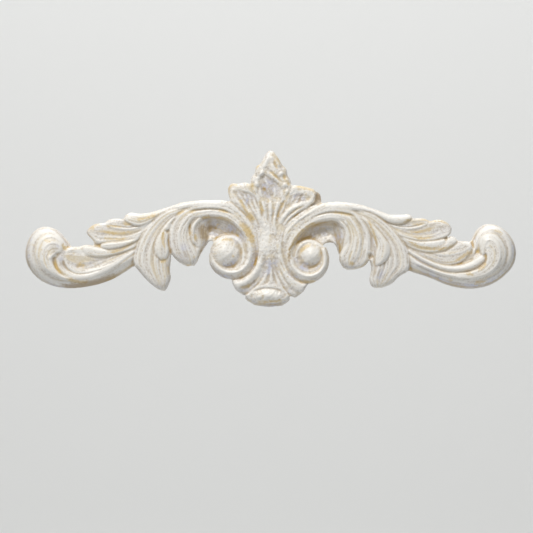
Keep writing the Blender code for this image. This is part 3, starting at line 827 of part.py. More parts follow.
def paint():
    """Ivory satin paint."""
    material = bpy.data.materials.new("ivory_paint")
    material.use_nodes = True
    shader = material.node_tree.nodes["Principled BSDF"]
    shader.inputs["Base Color"].default_value = PAINT_COLOUR
    shader.inputs["Roughness"].default_value = PAINT_ROUGHNESS
    shader.inputs["Metallic"].default_value = 0.0
    return material


def build_crest():
    """The crest as one closed body in metres."""
    form = build_relief(GRID_CELL)
    level, height = finished(form)
    body = thinned(relief_sheet(form, level, height, GRID_CELL))
    close_to_back(body)
    bmesh.ops.scale(body, vec=(MILLIMETRE,) * 3, verts=body.verts)
    mesh = bpy.data.meshes.new("crest")
    body.to_mesh(mesh)
    body.free()
    mesh.materials.append(paint())
    mesh.shade_smooth()
    mesh.set_sharp_from_angle(angle=math.radians(50))
    return bpy.data.objects.new("crest", mesh)


for leftover in list(bpy.data.objects):
    bpy.data.objects.remove(leftover)
collection = bpy.data.collections.new("pediment_crest")
bpy.context.scene.collection.children.link(collection)
collection.objects.link(build_crest())
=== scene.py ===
"""Pediment crest: ivory brushed paint over a cast relief, as it hangs, seen straight on.

The relief is worked out in millimetres over the plan, as the solid's is, and carried to a finer
surface with brush marks. Frame: X along the crest, Z up, the relief faces -Y, its back on Y = 0.
"""
import math

import bmesh
import bpy
import numpy as np
from mathutils import Matrix, Vector


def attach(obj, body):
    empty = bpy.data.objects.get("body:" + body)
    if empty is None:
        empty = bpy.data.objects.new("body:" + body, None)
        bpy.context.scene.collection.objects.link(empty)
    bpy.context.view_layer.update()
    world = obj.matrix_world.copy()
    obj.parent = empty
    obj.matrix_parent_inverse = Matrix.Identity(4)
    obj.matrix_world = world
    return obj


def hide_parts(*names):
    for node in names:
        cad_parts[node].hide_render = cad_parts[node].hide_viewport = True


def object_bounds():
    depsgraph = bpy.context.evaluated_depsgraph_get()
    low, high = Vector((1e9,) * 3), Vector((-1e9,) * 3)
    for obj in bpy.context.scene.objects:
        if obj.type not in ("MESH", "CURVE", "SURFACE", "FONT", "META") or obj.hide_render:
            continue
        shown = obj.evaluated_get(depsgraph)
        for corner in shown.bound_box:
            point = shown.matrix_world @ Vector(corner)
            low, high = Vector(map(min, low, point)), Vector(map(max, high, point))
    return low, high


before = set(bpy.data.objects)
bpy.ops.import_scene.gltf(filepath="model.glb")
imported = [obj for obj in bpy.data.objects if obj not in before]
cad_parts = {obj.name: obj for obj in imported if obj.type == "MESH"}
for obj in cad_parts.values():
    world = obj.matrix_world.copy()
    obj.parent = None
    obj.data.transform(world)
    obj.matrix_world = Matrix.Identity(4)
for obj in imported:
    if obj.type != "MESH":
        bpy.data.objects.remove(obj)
solid_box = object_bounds()

MILLIMETRE = 0.001

# Fineness of the surface: the grid of the relief and the spacing of its mesh, in mm.
GRID_CELL = 0.25
MESH_SPACING = 0.33

# Overall size of the crest, in millimetres. X runs along the crest, Z up, and the relief rises
# from a flat back; (0, 0) is the middle of its length and height.
HALF_LENGTH = 126.0
HALF_HEIGHT = 42.0

# How the casting softens the carving, in millimetres: the blur of an edge where one form lies
# over another, the width of the shadow gap round it, the blur of the whole surface and of the
# outline, the width over which the rim rolls over, and the width over which the body falls away
# towards the outline and how far it falls; the wall below the rim stands straight.
EDGE_BLUR = 0.35
SHADOW_GAP = 0.6
MOULD_BLUR = 0.24
OUTLINE_BLUR = 0.35
RIM_ROLL = 0.9
BODY_FALL_WIDTH = 2.2
BODY_FALL = 1.0
WALL_HEIGHT = 3.2

# Stations along and across a form lie this share of a grid cell apart, so that none is missed,
# and a given rail is first rounded with this many steps from point to point.
STATION_SHARE = 0.45
RAIL_STEPS = 12
# The least blur of an edge and of a shadow gap, in cells, so that neither shows as steps.
LEAST_BLUR = 0.8
LEAST_GAP = 0.5
# Stand in where a cover, or a step along a curve, would be nothing and divides.
TINY = 1e-6
NO_LENGTH = 1e-9

# A form's side: its cover is blurred by this share of the side's width, and the side is round
# from this blurred cover on, over this much more of it.
SIDE_BLUR = 0.6
SIDE_FROM = 0.4
SIDE_SPAN = 0.56
# Flutes: none is deeper than this share of its width; they wander sideways by this share of one,
# in so many half waves; and their depths differ by a mean and a swing, whose angle goes on by a
# step from flute to flute and by another from form to form.
FLUTE_LIMIT = 0.3
FLUTE_WANDER = 0.3
FLUTE_WAVES = 3.0
FLUTE_MEAN = 0.7
FLUTE_SWING = 0.3
NEXT_FLUTE = 2.4
NEXT_FORM = 1.7
# They set in over this share of the leaf's length and fade from this share on. These shares of a
# flute's depth and of a leaf's swell lie below the height that the leaf is given.
FLUTE_START = 0.06
FLUTE_FADE = 0.4
FLUTE_BELOW = 0.4
CROWN_BELOW = 0.35
# Fine lines narrow to this share of their width at their ends, widen by this one between, and
# are rounded across by this power.
LINE_END = 0.45
LINE_MIDDLE = 0.55
LINE_ROUND = 1.5
# Each form's brush lines are moved on by this much, in mm, so that none runs on into the next.
# On a boss they curve round a point that lies so many reaches left of its middle and above it.
BRUSH_SHIFT = 37.0
BRUSH_CENTRE = (0.7, 0.9)
# Room round a leaf, a boss and a fine line for their blurred edges, in mm.
LEAF_ROOM = 4.0
BOSS_ROOM = 3.0
LINE_ROOM = 2.0


def soft_line(a, b, c, d, part):
    """Between b and c, as a smooth curve through all four."""
    return 0.5 * (2 * b + (c - a) * part + (2 * a - 5 * b + 4 * c - d) * part ** 2
                  + (3 * b - a - 3 * c + d) * part ** 3)


def smooth_path(points, spacing):
    """A soft curve through given points, with stations at an even spacing in mm."""
    pts = np.asarray(points, float)
    ends = np.vstack([2 * pts[0] - pts[1], pts, 2 * pts[-1] - pts[-2]])
    part = np.linspace(0.0, 1.0, RAIL_STEPS, endpoint=False)[:, None]
    pieces = [soft_line(*four, part) for four in zip(ends, ends[1:], ends[2:], ends[3:])]
    path = np.vstack(pieces + [pts[-1:]])
    run = np.concatenate([[0.0], np.cumsum(np.hypot(*np.diff(path, axis=0).T))])
    count = max(int(run[-1] / spacing) + 2, 8)
    even = np.linspace(0.0, run[-1], count)
    return np.column_stack([np.interp(even, run, path[:, i]) for i in (0, 1)])


def stations(path, count):
    """The same curve with a given number of stations."""
    share = np.linspace(0.0, len(path) - 1.0, count)
    index = np.arange(len(path))
    return np.column_stack([np.interp(share, index, path[:, i]) for i in (0, 1)])


def profile(values, share):
    """A soft line through values spread evenly over 0..1."""
    knots = np.asarray(values, float)
    if len(knots) == 1:
        return np.full_like(share, knots[0])
    place = np.clip(share, 0.0, 1.0) * (len(knots) - 1)
    low = np.minimum(place.astype(int), len(knots) - 2)
    part = place - low
    ends = np.concatenate([[2 * knots[0] - knots[1]], knots, [2 * knots[-1] - knots[-2]]])
    return soft_line(*(ends[low + i] for i in range(4)), part)


def turn(centre, start, step, radii):
    """Points of a scroll's turn: one radius at every step of the angle, in degrees."""
    points = []
    for index, radius in enumerate(radii):
        angle = math.radians(start + step * index)
        points.append((centre[0] + radius * math.cos(angle), centre[1] + radius * math.sin(angle)))
    return points


def ease(value):
    """0 to 1 with soft ends."""
    t = np.clip(value, 0.0, 1.0)
    return t * t * (3.0 - 2.0 * t)


def soften(field, sigma):
    """Gaussian blur of a grid, with sigma in cells."""
    reach = max(int(3.0 * sigma + 0.5), 1)
    taps = np.exp(-0.5 * (np.arange(-reach, reach + 1) / max(sigma, 0.01)) ** 2)
    taps /= taps.sum()
    for axis in (0, 1):
        pad = [(0, 0), (0, 0)]
        pad[axis] = (reach, reach)
        wide = np.pad(field, pad)
        size = field.shape[axis]
        field = sum(w * np.take(wide, range(i, i + size), axis=axis) for i, w in enumerate(taps))
    return field


class Relief:
    """Heights in mm over a grid of the crest's plan, built up form by form from the back."""

    def __init__(self, cell):
        self.cell = cell
        self.xs = np.arange(-HALF_LENGTH, HALF_LENGTH + cell, cell)
        self.zs = np.arange(-HALF_HEIGHT, HALF_HEIGHT + cell, cell)
        shape = (len(self.zs), len(self.xs))
        self.height = np.zeros(shape)
        self.cover = np.zeros(shape)
        self.along = np.zeros(shape)
        self.across = np.zeros(shape)
        self.forms = 0

    def window(self, x, z, margin):
        """Rows and columns of the grid round some points."""
        low_c = max(int((x.min() - margin - self.xs[0]) / self.cell), 0)
        low_r = max(int((z.min() - margin - self.zs[0]) / self.cell), 0)
        high_c = min(int((x.max() + margin - self.xs[0]) / self.cell) + 2, len(self.xs))
        high_r = min(int((z.max() + margin - self.zs[0]) / self.cell) + 2, len(self.zs))
        return slice(low_r, high_r), slice(low_c, high_c)

    def cells(self, x, z, rows, cols):
        """Row and column of each point inside a window."""
        row = np.rint((z - self.zs[0]) / self.cell).astype(int) - rows.start
        col = np.rint((x - self.xs[0]) / self.cell).astype(int) - cols.start
        return (np.clip(row, 0, rows.stop - rows.start - 1),
                np.clip(col, 0, cols.stop - cols.start - 1))

    def lay(self, rows, cols, mask, high, along, across, blend, side, drop, sink):
        """Lays one form over what is there, with rounded sides and a shadow gap round it."""
        edge = max(EDGE_BLUR / self.cell, LEAST_BLUR)
        spread = soften(mask * 1.0, edge)
        filled = soften(high * mask, edge) / np.maximum(spread, TINY)
        high = np.where(mask, high, filled)
        inner = soften(mask * 1.0, max(side * SIDE_BLUR / self.cell, LEAST_BLUR))
        round_off = 1.0 - (1.0 - np.clip((inner - SIDE_FROM) / SIDE_SPAN, 0.0, 1.0)) ** 2
        high = high - drop * (1.0 - round_off)
        lent = soften(blend * mask, edge) / np.maximum(spread, TINY)
        under = self.height[rows, cols]
        cover = self.cover[rows, cols]
        if sink > 0.0:
            # Just outside an edge the blurred cover is a half, so it counts twice.
            gap = soften(blend * mask, max(SHADOW_GAP / self.cell, LEAST_GAP)) * 2.0
            under = under - sink * np.clip(gap, 0.0, 1.0) * (1.0 - spread) * (cover > 0)
        strength = np.where(cover > 0, spread * lent, mask * 1.0)
        self.height[rows, cols] = under * (1.0 - strength) + high * strength
        self.cover[rows, cols] = np.maximum(cover, mask * 1.0)
        own = strength > 0.5
        self.along[rows, cols] = np.where(own, along, self.along[rows, cols])
        self.across[rows, cols] = np.where(own, across, self.across[rows, cols])

    def leaf(self, rails, rise, flutes=1, groove=0.0, crown=0.4, side=0.8, drop=0.9,
             root=0.0, sink=0.0, crests=None, tilt=(0.0,), fade=0.6, tip=0.0, brush=0.0):
        """A leaf or band between rails that run from its root to its tip, all in mm.

        rise is its height along the leaf; flutes is how many run along it; groove is their
        depth, hollow when negative and reeded when positive; crown is the swell across it, or
        its hollow when negative; crests adds heights across it and tilt, along it, lifts its last
        rail over its first; side and drop round its edges; root and tip are the shares of its
        length in which it grows out of what lies beneath and sinks back; sink is how deep the
        shadow gap round it is; fade is the share of the flutes that is left at its tip; brush is
        the width that its brush lines are spread over, its own where that is 0.
        """
        step = STATION_SHARE * self.cell
        paths = [smooth_path(rail, step) for rail in rails]
        count = max(len(path) for path in paths)
        grid = np.stack([stations(path, count) for path in paths])
        widths = np.hypot(*np.moveaxis(np.diff(grid, axis=0), 2, 0))
        lanes = [max(int(width / step) + 2, 4) for width in widths.max(axis=1)]
        share = np.concatenate([np.linspace(i, i + 1.0, n, endpoint=False)
                                for i, n in enumerate(lanes)] + [[float(len(lanes))]])
        low = np.minimum(share.astype(int), len(lanes) - 1)
        part = (share - low)[:, None]
        x = grid[low, :, 0] * (1 - part) + grid[low + 1, :, 0] * part
        z = grid[low, :, 1] * (1 - part) + grid[low + 1, :, 1] * part
        u = np.linspace(0.0, 1.0, count)[None, :] * np.ones_like(x)
        v = (share / len(lanes))[:, None] * np.ones_like(x)
        width = widths.sum(axis=0)[None, :]
        broad = width / width.max()
        pitch = width / max(flutes, 1)
        depth = np.sign(groove) * np.minimum(abs(groove), FLUTE_LIMIT * pitch)
        high = profile(rise, u) + crown * broad * (1.0 - (2.0 * v - 1.0) ** 2 - CROWN_BELOW)
        high += profile(tilt, u) * (v - 0.5)
        wander = FLUTE_WANDER * min(flutes - 1, 1) * np.sin(FLUTE_WAVES * math.pi * v)
        lane = flutes * v + wander
        turned = NEXT_FLUTE * np.floor(lane) + NEXT_FORM * self.forms
        uneven = FLUTE_MEAN + FLUTE_SWING * np.sin(turned)
        faded = (1.0 - fade) * ease((u - FLUTE_FADE) / (1.0 - FLUTE_FADE))
        depth = depth * ease(u / FLUTE_START) * (1.0 - faded)
        high += depth * (uneven * np.abs(np.sin(math.pi * lane)) - FLUTE_BELOW)
        if crests is not None:
            high += profile(crests, v)
        rows, cols = self.window(x, z, LEAF_ROOM)
        at = self.cells(x, z, rows, cols)
        shape = (rows.stop - rows.start, cols.stop - cols.start)
        mask = np.zeros(shape, bool)
        mask[at] = True
        layers = []
        lines = v * (brush or width.max()) + BRUSH_SHIFT * self.forms
        for values in (high, u * count * step, lines, u):
            layer = np.zeros(shape)
            layer[at] = values
            layers.append(layer)
        self.forms += 1
        blend = ease(layers[3] / root) if root > 0 else mask * 1.0
        if tip > 0:
            blend = blend * ease((1.0 - layers[3]) / tip)
        self.lay(rows, cols, mask, layers[0], layers[1], layers[2], blend, side, drop, sink)

    def boss(self, centre, reach, base, rise, lean=0.0, power=0.8):
        """A round or egg-shaped boss: reach is its half-length and half-width, lean its slope.

        It rises from base by rise, the fuller the smaller its power is.
        """
        gx, gz = np.meshgrid(self.xs, self.zs)
        far = max(reach)
        rows, cols = self.window(*np.array(centre, float).reshape(2, 1), far + BOSS_ROOM)
        dx = gx[rows, cols] - centre[0]
        dz = gz[rows, cols] - centre[1]
        angle = math.radians(lean)
        a = (dx * math.cos(angle) + dz * math.sin(angle)) / reach[0]
        b = (-dx * math.sin(angle) + dz * math.cos(angle)) / reach[1]
        ring = a * a + b * b
        mask = ring < 1.0
        high = base + rise * np.clip(1.0 - ring, 0.0, 1.0) ** power
        across = np.hypot(dx + BRUSH_CENTRE[0] * far, dz - BRUSH_CENTRE[1] * far)
        across = across + BRUSH_SHIFT * self.forms
        self.forms += 1
        # Its own roundness makes its side, so lay adds no side, drop or gap to it.
        self.lay(rows, cols, mask, high, dx, across, mask * 1.0, 0.0, 0.0, 0.0)

    def stroke(self, points, width, rise, taper=0.25):
        """A fine ridge, or a groove when rise is negative, along a curve.

        taper is the share of its length over which it narrows at each end.
        """
        layer, rows, cols = self.line(points, width, taper)
        self.height[rows, cols] += rise * layer

    def line(self, points, width, taper):
        """Coverage of a tapering line of a full width, from 0 to 1, over its window."""
        step = STATION_SHARE * self.cell
        path = smooth_path(points, step)
        slope = np.gradient(path, axis=0)
        slope /= np.hypot(*slope.T)[:, None] + NO_LENGTH
        u = np.linspace(0.0, 1.0, len(path))
        ends = ease(np.minimum(u, 1.0 - u) / taper)
        offsets = np.linspace(-1.0, 1.0, max(int(width / step) + 3, 7))
        half = 0.5 * width * (LINE_END + LINE_MIDDLE * ends)
        x = path[:, 0][None, :] - slope[:, 1][None, :] * offsets[:, None] * half
        z = path[:, 1][None, :] + slope[:, 0][None, :] * offsets[:, None] * half
        value = (1.0 - offsets[:, None] ** 2) ** LINE_ROUND * ends[None, :]
        rows, cols = self.window(x, z, LINE_ROOM)
        layer = np.zeros((rows.stop - rows.start, cols.stop - cols.start))
        np.maximum.at(layer, self.cells(x, z, rows, cols), value)
        return layer, rows, cols


# In the forms below, each rail and line is a row of (x, z) points in mm. What leaf takes for the
# forms that both sides have is named here.
STEM = dict(rise=(8, 8.2, 8.4, 8.4, 8.4), flutes=6, groove=-0.3, crown=0, side=1.0, drop=1.0)
END_SCROLL = dict(rise=(8.2, 8.2, 8.3, 8.5, 8.8, 9, 9, 9, 8.6), flutes=4, crown=0.3, side=1.4,
                  fade=1.0)
LONG_LEAF = dict(rise=(10.5, 10, 9.4, 8.8, 8.4, 8), flutes=6, groove=-0.6, side=1.0, drop=1.0,
                 root=0.1, sink=0.15)
LOWEST_LOBE = dict(rise=(8.4, 8.7, 9, 9.3, 9.5, 9.2), flutes=2, groove=0.2, crown=0.6, side=1.5,
                   drop=0.6, root=0.25, sink=0.1)
DISHED_LOBE = dict(rise=(9.6, 9.4, 9.2, 9.1, 9, 9), flutes=2, groove=-0.8, crown=-0.2, side=1.0,
                   root=0.18, sink=0.08)
HOLLOW_LOBE = dict(rise=(9.8, 9.5, 9.3, 9.2, 9.2, 9), flutes=2, groove=-0.8, crown=-0.3,
                   side=1.0, drop=0.8, root=0.2, sink=0.08)
HANGING_LEAF = dict(rise=(10.6, 10.2, 9.8, 9.6, 9.5, 9.2, 8.6, 7.6), flutes=8, groove=-0.85,
                    crown=0.7, side=1.1, drop=1.1, root=0.12, sink=0.2)
INNER_LEAF = dict(rise=(10.8, 10.6, 10.3, 10.3, 10, 9.4, 8.2), flutes=5, groove=-0.85,
                  crown=0.9, side=1.1, drop=1.0, root=0.15, sink=0.2)
VOLUTE_HOLLOW = dict(rise=(6.6, 6.2, 6.0, 6.2, 6.6), crown=-1.0, drop=0.3,
                     crests=(1.0, 0.3, -0.1, 0.9, 3.0, 4.4))
LOBE_RIM = dict(rise=(9.8, 9.8, 10, 10.2, 10.1, 9.6), crown=0.2, drop=0.4, root=0.15, sink=0.1,
                brush=9)
LOBE_CUP = dict(rise=(9.6, 9.5, 9.4, 9.3, 9.4, 9.6), crown=-0.2, side=0.7, drop=0.0, root=0.45)


def left_wing(form):
    """The left wing: the end scroll and its stem, the upper leaf and two hanging leaves."""
    # The stem's body, which fills what the forms over it leave open.
    form.leaf([
        ((-58, 4), (-72, -4), (-86, -9), (-96, -9.4), (-103, -10), (-108, -12)),
        ((-58, -8), (-72, -18), (-86, -25), (-98, -27), (-107, -25), (-111, -18))],
        **STEM)
    # The end scroll: one band that sweeps along the bottom and turns up round the bulb.
    form.leaf([
        ((-60, -12), (-69, -18.5), (-80, -25.2), (-92, -28.7), (-104, -29.3), (-114, -26.3),
         (-120.5, -20), (-122.8, -12.5), (-121, -5), (-117, -0.2), (-112, 1), (-106.5, -1.2),
         (-102, -6.2), (-100, -9)),
        ((-60, -10), (-69, -15.6), (-80, -22.3), (-92, -25.8), (-104, -26.8), (-112.5, -24),
         (-117.9, -18), (-119.6, -11.5), (-118, -5.4), (-114.2, -1.9), (-109.7, -1.4), (-105.4, -4),
         (-102.6, -8.4), (-101.6, -11)),
        ((-60, -6), (-69, -11), (-80, -17), (-92, -20.5), (-102, -21.8), (-109, -20.5),
         (-114, -16.6), (-115.6, -11.6), (-114, -7), (-110.5, -5), (-106.8, -6.4), (-104.4, -9.6),
         (-104, -13))],
        groove=-0.25, crests=(-3.4, -0.7, 0.9), tilt=(2.2, 2.4, 2.4, 2.2, 1.4, 0.4, 0.0, 0.0),
        **END_SCROLL)
    form.boss((-106.4, -15), (5, 6), 8.9, 0.7)
    # The bulb, the head of an inner band that flows back down along the rim.
    form.leaf([
        ((-103.6, -9.6), (-104.2, -6.4), (-106.6, -3.7), (-110.4, -2.5), (-114.6, -4.1),
         (-117.2, -8), (-117.9, -13.5), (-116.4, -19), (-112, -23.4), (-105, -25.8), (-96, -26.2)),
        ((-104.2, -10.6), (-105.2, -8.6), (-107.2, -7.4), (-110, -7.4), (-112.6, -9.4),
         (-113.6, -12.6), (-113.4, -16.4), (-111.4, -20), (-107.4, -23), (-101, -24.8),
         (-94, -25.2)),
        ((-105, -11.8), (-105.6, -11.8), (-106.6, -12), (-107.8, -12.6), (-108.8, -14),
         (-109, -16.4), (-108, -19), (-106, -21.4), (-103, -23), (-98, -24), (-92, -24.4))],
        rise=(9.6, 10.2, 10.8, 11, 10.8, 10.3, 9.7, 9.3, 9), flutes=4, groove=0.12, crown=0.9,
        side=1.8, drop=0.2, crests=(-0.9, 0.2, 0.8), tip=0.1)
    # The lower lip, the rim of the basin, that turns up to a small hook under the bulb.
    form.leaf([
        ((-62, -5), (-72, -12), (-80, -17.6), (-88, -21.4), (-95, -22.3), (-100.4, -20.8),
         (-103, -18), (-103.4, -14.4), (-103.4, -12.2)),
        ((-62, -8), (-72, -15.5), (-80, -21), (-88, -24.6), (-96, -25.6), (-102.4, -24),
         (-106.8, -20.2), (-108.4, -16), (-107.8, -12.8))],
        rise=(8.4, 8.6, 9, 9.5, 9.8, 9.6, 9.2, 9.2), crown=0.15, side=1.6, drop=0.1, root=0.12,
        crests=(0.0, 0.3, -0.3), tilt=(0.0, 0.0, 0.0, -0.2, 0.0, 0.5, 0.8, 0.5), tip=0.1)
    form.stroke(((-111.4, -15), (-109.4, -13.8), (-106.4, -12.6)), 2.2, 0.45)
    form.stroke(((-107, -14), (-107.5, -15.6), (-107.4, -18), (-106.5, -20.4), (-104.6, -22.8),
        (-101.6, -24.6)), 1.7, -0.25)
    form.stroke(((-116.6, -12), (-116.4, -16), (-114.4, -20), (-110.6, -22.9), (-105, -24.8)), 1.8,
        -0.25)
    form.stroke(((-112.4, -24.8), (-109, -26.8), (-105, -28.2), (-101, -28.8)), 1.2, 0.5)
    # The shallow basin above the lip, with its rounded end.
    form.leaf([
        ((-60, 0), (-70, -4), (-80, -7.5), (-90, -8.6), (-97, -9), (-101, -9.6), (-103, -12)),
        ((-60, -3), (-70, -8.5), (-80, -13.5), (-90, -16), (-97, -16.5), (-101, -15.5),
         (-103.2, -13.2)),
        ((-60, -6), (-70, -12), (-80, -17.4), (-90, -21), (-97, -22), (-101.4, -19.4),
         (-103.2, -14.6))],
        rise=(8.2, 8.6, 8.9, 9.2, 9.4, 9.5, 9.4), flutes=3, groove=-0.15, crown=-0.7, side=1.8,
        drop=0.1, root=0.12, crests=(0.2, 0.0, -0.1, 0.0))
    for ridge in (
            ((-84, -15.4), (-90, -17.6), (-96, -18.6), (-100.4, -17.6)),
            ((-80, -14.8), (-86, -18.2), (-92, -20), (-97.6, -20.4)),
            ((-76, -11.6), (-83, -15), (-90, -16), (-95, -15))):
        form.stroke(ridge, 1.8, -0.22, taper=0.4)
    # The upper leaf: its body, then five lobes laid one over the other.
    form.leaf([
        ((-28, 13.8), (-40, 13.4), (-52, 10.3), (-60, 8), (-68, 6), (-76, 3), (-84, 1), (-89, -2)),
        ((-38, 9), (-46, 7), (-54, 3.5), (-60, -0.5), (-66, -4.8), (-74, -8), (-82, -9.3),
         (-88, -8.6))],
        **LONG_LEAF)
    form.leaf([
        ((-62, -3), (-70, -7.5), (-79, -9.8), (-87, -9.2), (-91, -7.9), (-94.2, -8.4)),
        ((-62, -6), (-69, -10), (-77, -12.8), (-86, -14.2), (-92, -13), (-94.6, -9.6))],
        **LOWEST_LOBE)
    form.leaf([
        ((-54, 5), (-61, 0.4), (-67, -3.4), (-74, -5.4), (-81, -6), (-84.6, -7.4)),
        ((-56, 1.5), (-62, -2.8), (-68, -6.6), (-74, -9.1), (-81, -10.4), (-85.2, -9.2))],
        rise=(9.4, 9.3, 9.4, 9.7, 9.9, 9.6), flutes=2, groove=0.25, crown=0.7, side=1.5, drop=0.7,
        root=0.2, sink=0.1)
    form.leaf([
        ((-50, 9), (-58, 5.6), (-65, 1.6), (-72, 0), (-78, 0.8), (-83, 2.6), (-88, 2.2), (-91, 0.2),
         (-92.2, -1.4)),
        ((-52, 6), (-59, 2), (-65, -1.3), (-72, -3.7), (-79, -3.9), (-85, -3.4), (-89, -2.4),
         (-91.6, -1.9)),
        ((-54, 3.5), (-60, -1), (-66, -4.2), (-73, -6), (-80, -6.6), (-86.5, -7.2), (-89.5, -5),
         (-92, -2.2))],
        **DISHED_LOBE)
    form.leaf([
        ((-46, 11), (-54, 9), (-62, 6), (-69, 3.8), (-73.6, 4.6), (-77.8, 5.1), (-81.4, 4.2),
         (-82.6, 3)),
        ((-50, 7.5), (-57, 4.6), (-63, 1.2), (-69, -0.4), (-74, -0.6), (-79, 0.2), (-81.5, 1.4),
         (-82.8, 2.6))],
        **HOLLOW_LOBE)
    form.leaf([
        ((-24, 14.1), (-34, 14.2), (-43, 13.2), (-52, 10.6), (-60, 8.2), (-66, 7.5), (-70, 8),
         (-72.4, 6.9), (-73.2, 5.6)),
        ((-26, 12), (-36, 11.5), (-46, 9.6), (-54, 6.8), (-60, 3.6), (-65, 1.6), (-69, 2),
         (-72, 3.6), (-73.3, 5.1))],
        rise=(11.2, 11, 10.6, 10.2, 9.8, 9.9, 9.6), flutes=2, groove=-0.6, side=1.2, root=0.12,
        sink=0.2)
    # The hanging leaf: a long body, then the smaller lobe that lies over its inner side.
    form.leaf([
        ((-44, 11), (-53, 8.6), (-60, 3), (-65, -4), (-67.8, -11), (-68.4, -17), (-66.2, -20.6),
         (-61.5, -26), (-57, -29.6), (-54.2, -30.8)),
        ((-42, 8), (-49, 4), (-54.5, -2), (-57.6, -9), (-58.6, -16), (-57.5, -22), (-55.5, -27),
         (-53.7, -30.6)),
        ((-40, 5), (-45, 2.5), (-49.5, -2), (-50.6, -8), (-50.2, -14), (-50.8, -20), (-50.4, -25),
         (-52.5, -30), (-53.4, -30.9))],
        **HANGING_LEAF)
    form.leaf([
        ((-43, 9), (-49, 6), (-54, 1), (-57.4, -5), (-58.4, -10), (-57, -13.6), (-54.8, -15.8)),
        ((-41, 6), (-46, 3.6), (-50, -1), (-51.6, -6.4), (-51, -11), (-52, -14.4), (-54.2, -16))],
        rise=(10.6, 10.6, 10.4, 10.6, 10.8, 10.6, 9.8), flutes=3, groove=-0.4, crown=0.8, side=1.4,
        root=0.2, sink=0.15)
    form.stroke(((-52, -2.6), (-51.6, -1.2), (-51.3, 0.2)), 2.4, -1.0, taper=0.5)
    # The leaf beside the volute.
    form.leaf([
        ((-37, 11), (-43, 9.4), (-48, 5.4), (-50.6, -0.5), (-50.8, -7), (-49.3, -12.6),
         (-45.6, -16.6), (-41.6, -18.6)),
        ((-35, 8.4), (-40, 6.4), (-44, 1.5), (-45.6, -4), (-44.6, -10), (-42.4, -14.4),
         (-40.6, -18.2)),
        ((-33, 7), (-37, 4.5), (-39.6, 0), (-40, -5), (-38, -10.5), (-36.6, -15), (-38.6, -18.4))],
        fade=0.15, **INNER_LEAF)


